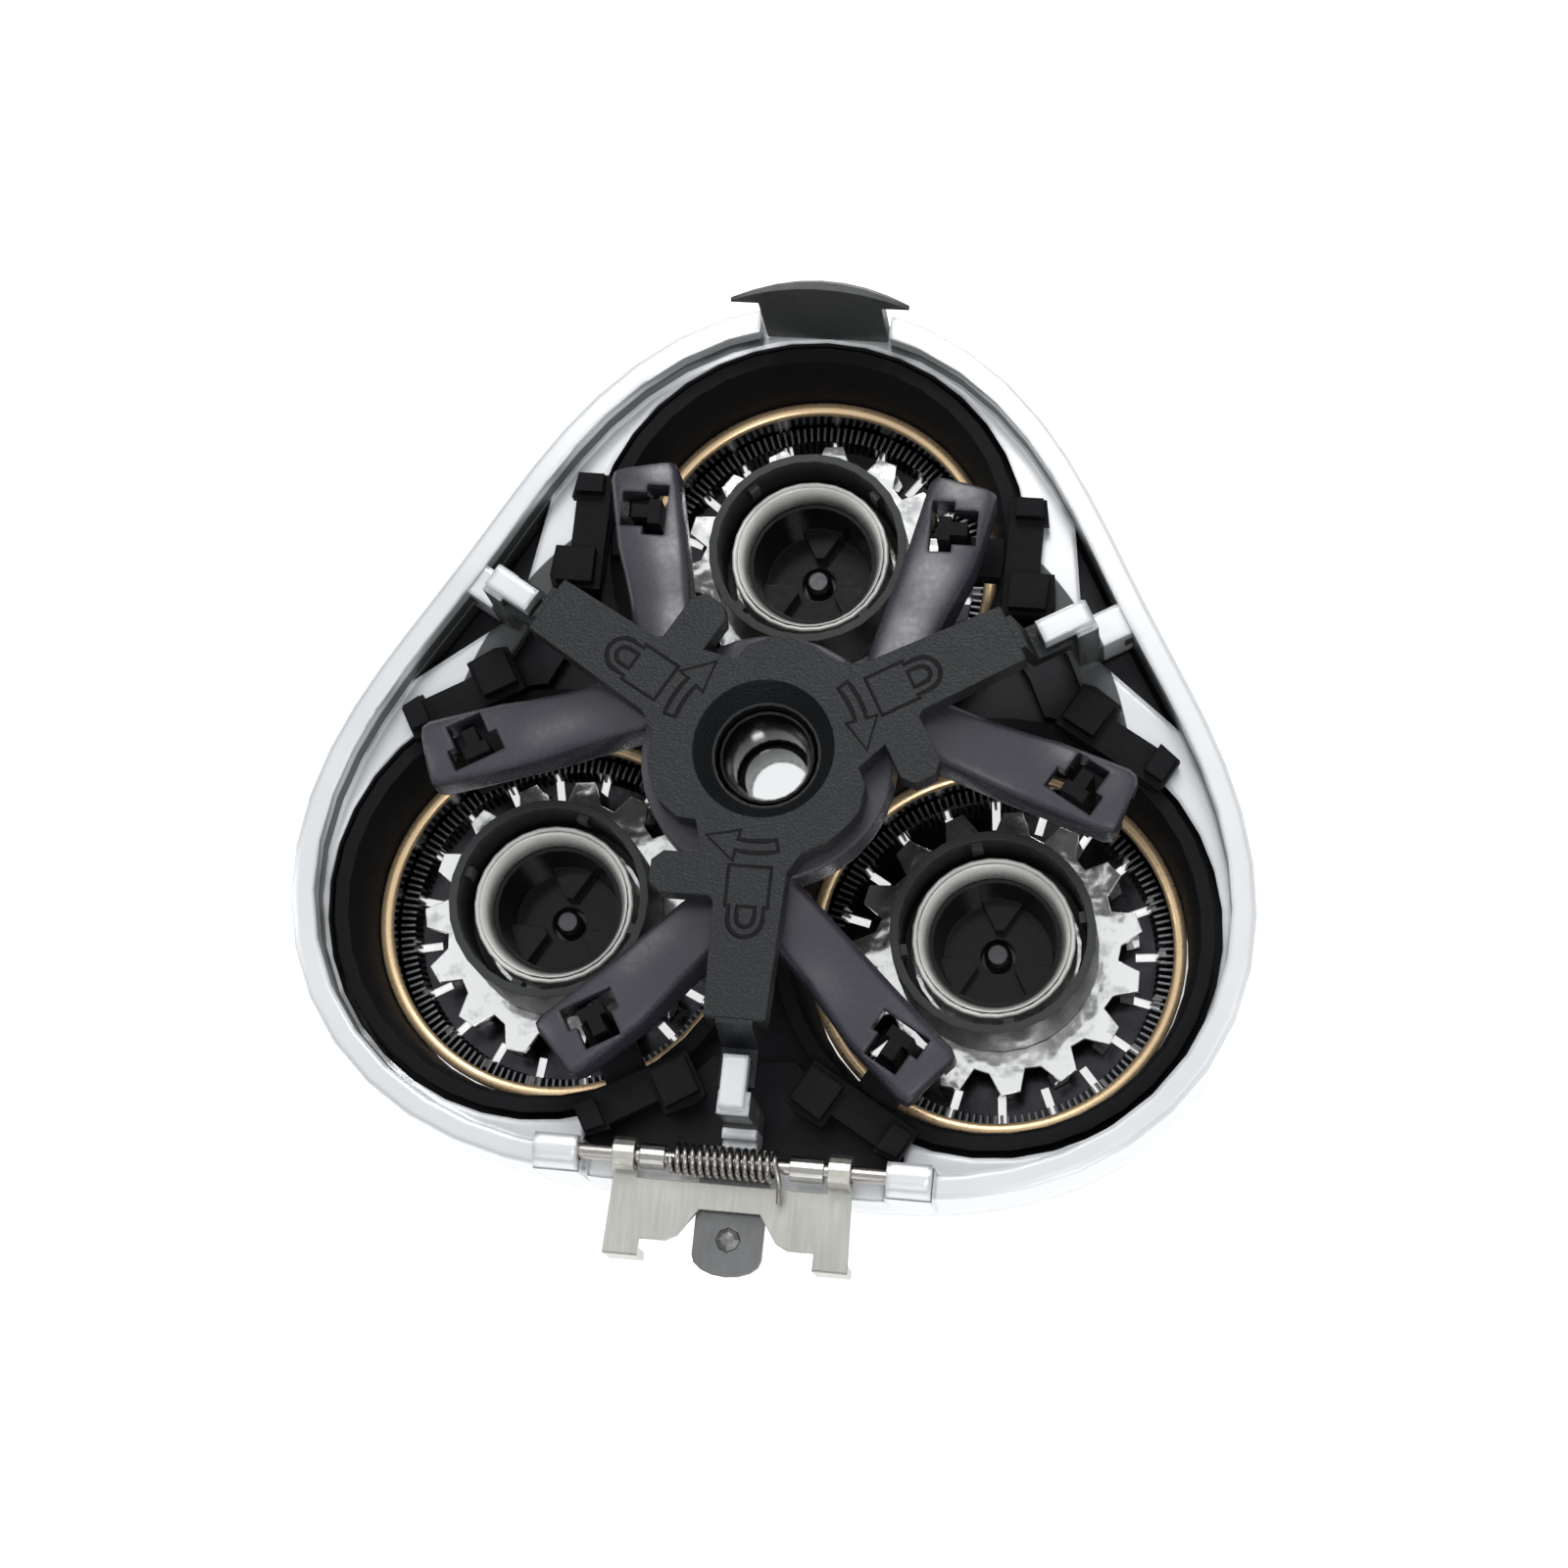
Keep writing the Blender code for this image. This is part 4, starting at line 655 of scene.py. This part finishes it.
def gold_ring(unit, material):
    """The ring above the cap with a low crowned face, in the place of the coarser solid."""
    x, y, _ = centre_of(f"rim_ring_{unit}")
    mesh = turned(RING_PROFILE, (x, y), RING_STEPS)
    ring = piece(f"gold_ring_{unit}", mesh, material, f"unit_{unit}")
    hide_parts(f"rim_ring_{unit}")


def collar_lining(unit, material):
    """The sloping bright wall inside a collar, down to the edge of the drive socket."""
    x, y, _ = centre_of(f"cutter_collar_{unit}")
    mesh = turned(LINING_PROFILE, (x, y), LINING_STEPS)
    piece(f"collar_lining_{unit}", mesh, material, f"cutter_{unit}")


camera()
floor()
sky()
for light in LIGHTS:
    area_light(*light)

# The last colour is the painted shade in the groove, on the low inner walls and on the posts
silver = silver_lacquer("silver_lacquer", bright=(0.81, 0.82, 0.83), dull=(0.75, 0.77, 0.79),
                        painted_shade=(0.060, 0.063, 0.065))
dark_frame = grain_black("dark_moulding", (0.040, 0.042, 0.042), 0.46,
                         grain=0.006 * MM, scale=4200.0, shine=0.4)
lock_black = grain_black("lock_grain", (0.009, 0.010, 0.011), 0.40,
                         grain=0.075 * MM, scale=5200.0, shine=0.32)
hub_black = grain_black("hub_grain", (0.018, 0.019, 0.020), 0.46,
                        grain=0.012 * MM, scale=4600.0, shine=0.4)
chassis_black = moulded("chassis_black", (0.006, 0.006, 0.008), 0.36, wave=0.004 * MM, shine=0.2)
violet_grey = moulded("violet_grey_satin", (0.034, 0.033, 0.044), 0.27, wave=0.004 * MM, shine=0.55,
                      bevel=0.4 * MM)
cup_black = moulded("cup_black", (0.006, 0.006, 0.007), 0.60, wave=0.003 * MM, shine=0.12)
gloss_black = moulded("gloss_black", (0.003, 0.003, 0.004), 0.16, wave=0.003 * MM, shine=0.25)
sign_black = moulded("sign_black", (0.004, 0.004, 0.005), 0.5, wave=0.012 * MM, shine=0.15)
chrome = cutter_metal("cutter_steel", clean=(0.97, 0.97, 0.95), stained=(0.62, 0.62, 0.62))
collar_steel = turned_metal("collar_steel", (0.95, 0.94, 0.90), 0.30)
# The inside colour is painted shade for the cap's inner faces
cap_steel = cap_metal("cap_steel", outside=(0.62, 0.62, 0.63), inside=(0.05, 0.05, 0.055))
# The teeth's colours are painted shade with stains, and their tips are a painted highlight
comb_steel = comb_metal("comb_steel", clean=(0.035, 0.035, 0.038), stained=(0.015, 0.015, 0.018),
                        tip_highlight=(0.20, 0.20, 0.21))
gold = metal("gold_ring", (0.88, 0.64, 0.38), 0.30, scale=2600.0, dark=0.85, metallic=0.6)
nickel = metal("satin_nickel", (0.50, 0.49, 0.45), 0.34, scale=3200.0, stretch=(1.0, 0.08, 1.0),
               depth=0.006 * MM, dark=0.82)
dark_steel = metal("tongue_steel", (0.19, 0.19, 0.19), 0.30, scale=3200.0, stretch=(1.0, 0.10, 1.0),
                   dark=0.8)
wire = metal("spring_wire", (0.36, 0.34, 0.32), 0.24, scale=3600.0, stretch=(0.2, 1.0, 1.0))
sleeve_steel = metal("sleeve_steel", (0.36, 0.355, 0.34), 0.22, scale=3000.0, stretch=(0.2, 1.0, 1.0))
pin_mirror = metal("pin_mirror", (0.95, 0.95, 0.94), 0.07, scale=2000.0, depth=0.001 * MM, dark=0.95)
pin_grey = metal("pin_grey", (0.10, 0.10, 0.105), 0.42, scale=3400.0)

assign(silver, "outer_shell", "front_trim")
assign(dark_frame, "coupling_tab")
assign(chassis_black, "chassis")
assign(violet_grey, "retaining_frame")
assign(lock_black, "lock_spider")
assign(gloss_black, "centre_bush", *each("drive_socket"))
assign(nickel, "hinge_plate", *each("cap_disc"))
assign(sleeve_steel, "pin_sleeve_left", "pin_sleeve_right")
assign(dark_steel, "latch_tongue")
assign(wire, "hinge_pin", "hinge_spring")
assign(cup_black, *each("cap_holder"))
assign(cap_steel, *each("shaving_cap"))
assign(gold, *each("rim_ring"))
assign(pin_grey, *each("bearing_pin"))
assign(chrome, *each("cutter_blade"))
assign(collar_steel, *each("cutter_collar"))
assign(hub_black, *each("cutter_hub"))

for node, slot in HOUSING_SMOOTH:
    softened(node, "housing")
softened("lock_spider", "lock")
for node, body, slot in UNIT_SMOOTH:
    for unit in UNITS:
        softened(f"{node}_{unit}", f"{body}_{unit}")
lock_signs(sign_black)
spring(wire)
pin_head(pin_mirror)
for unit in UNITS:
    comb(unit, comb_steel)
    gold_ring(unit, gold)
    collar_lining(unit, collar_steel)

bpy.context.scene.view_settings.view_transform = "Standard"
bpy.context.view_layer.update()
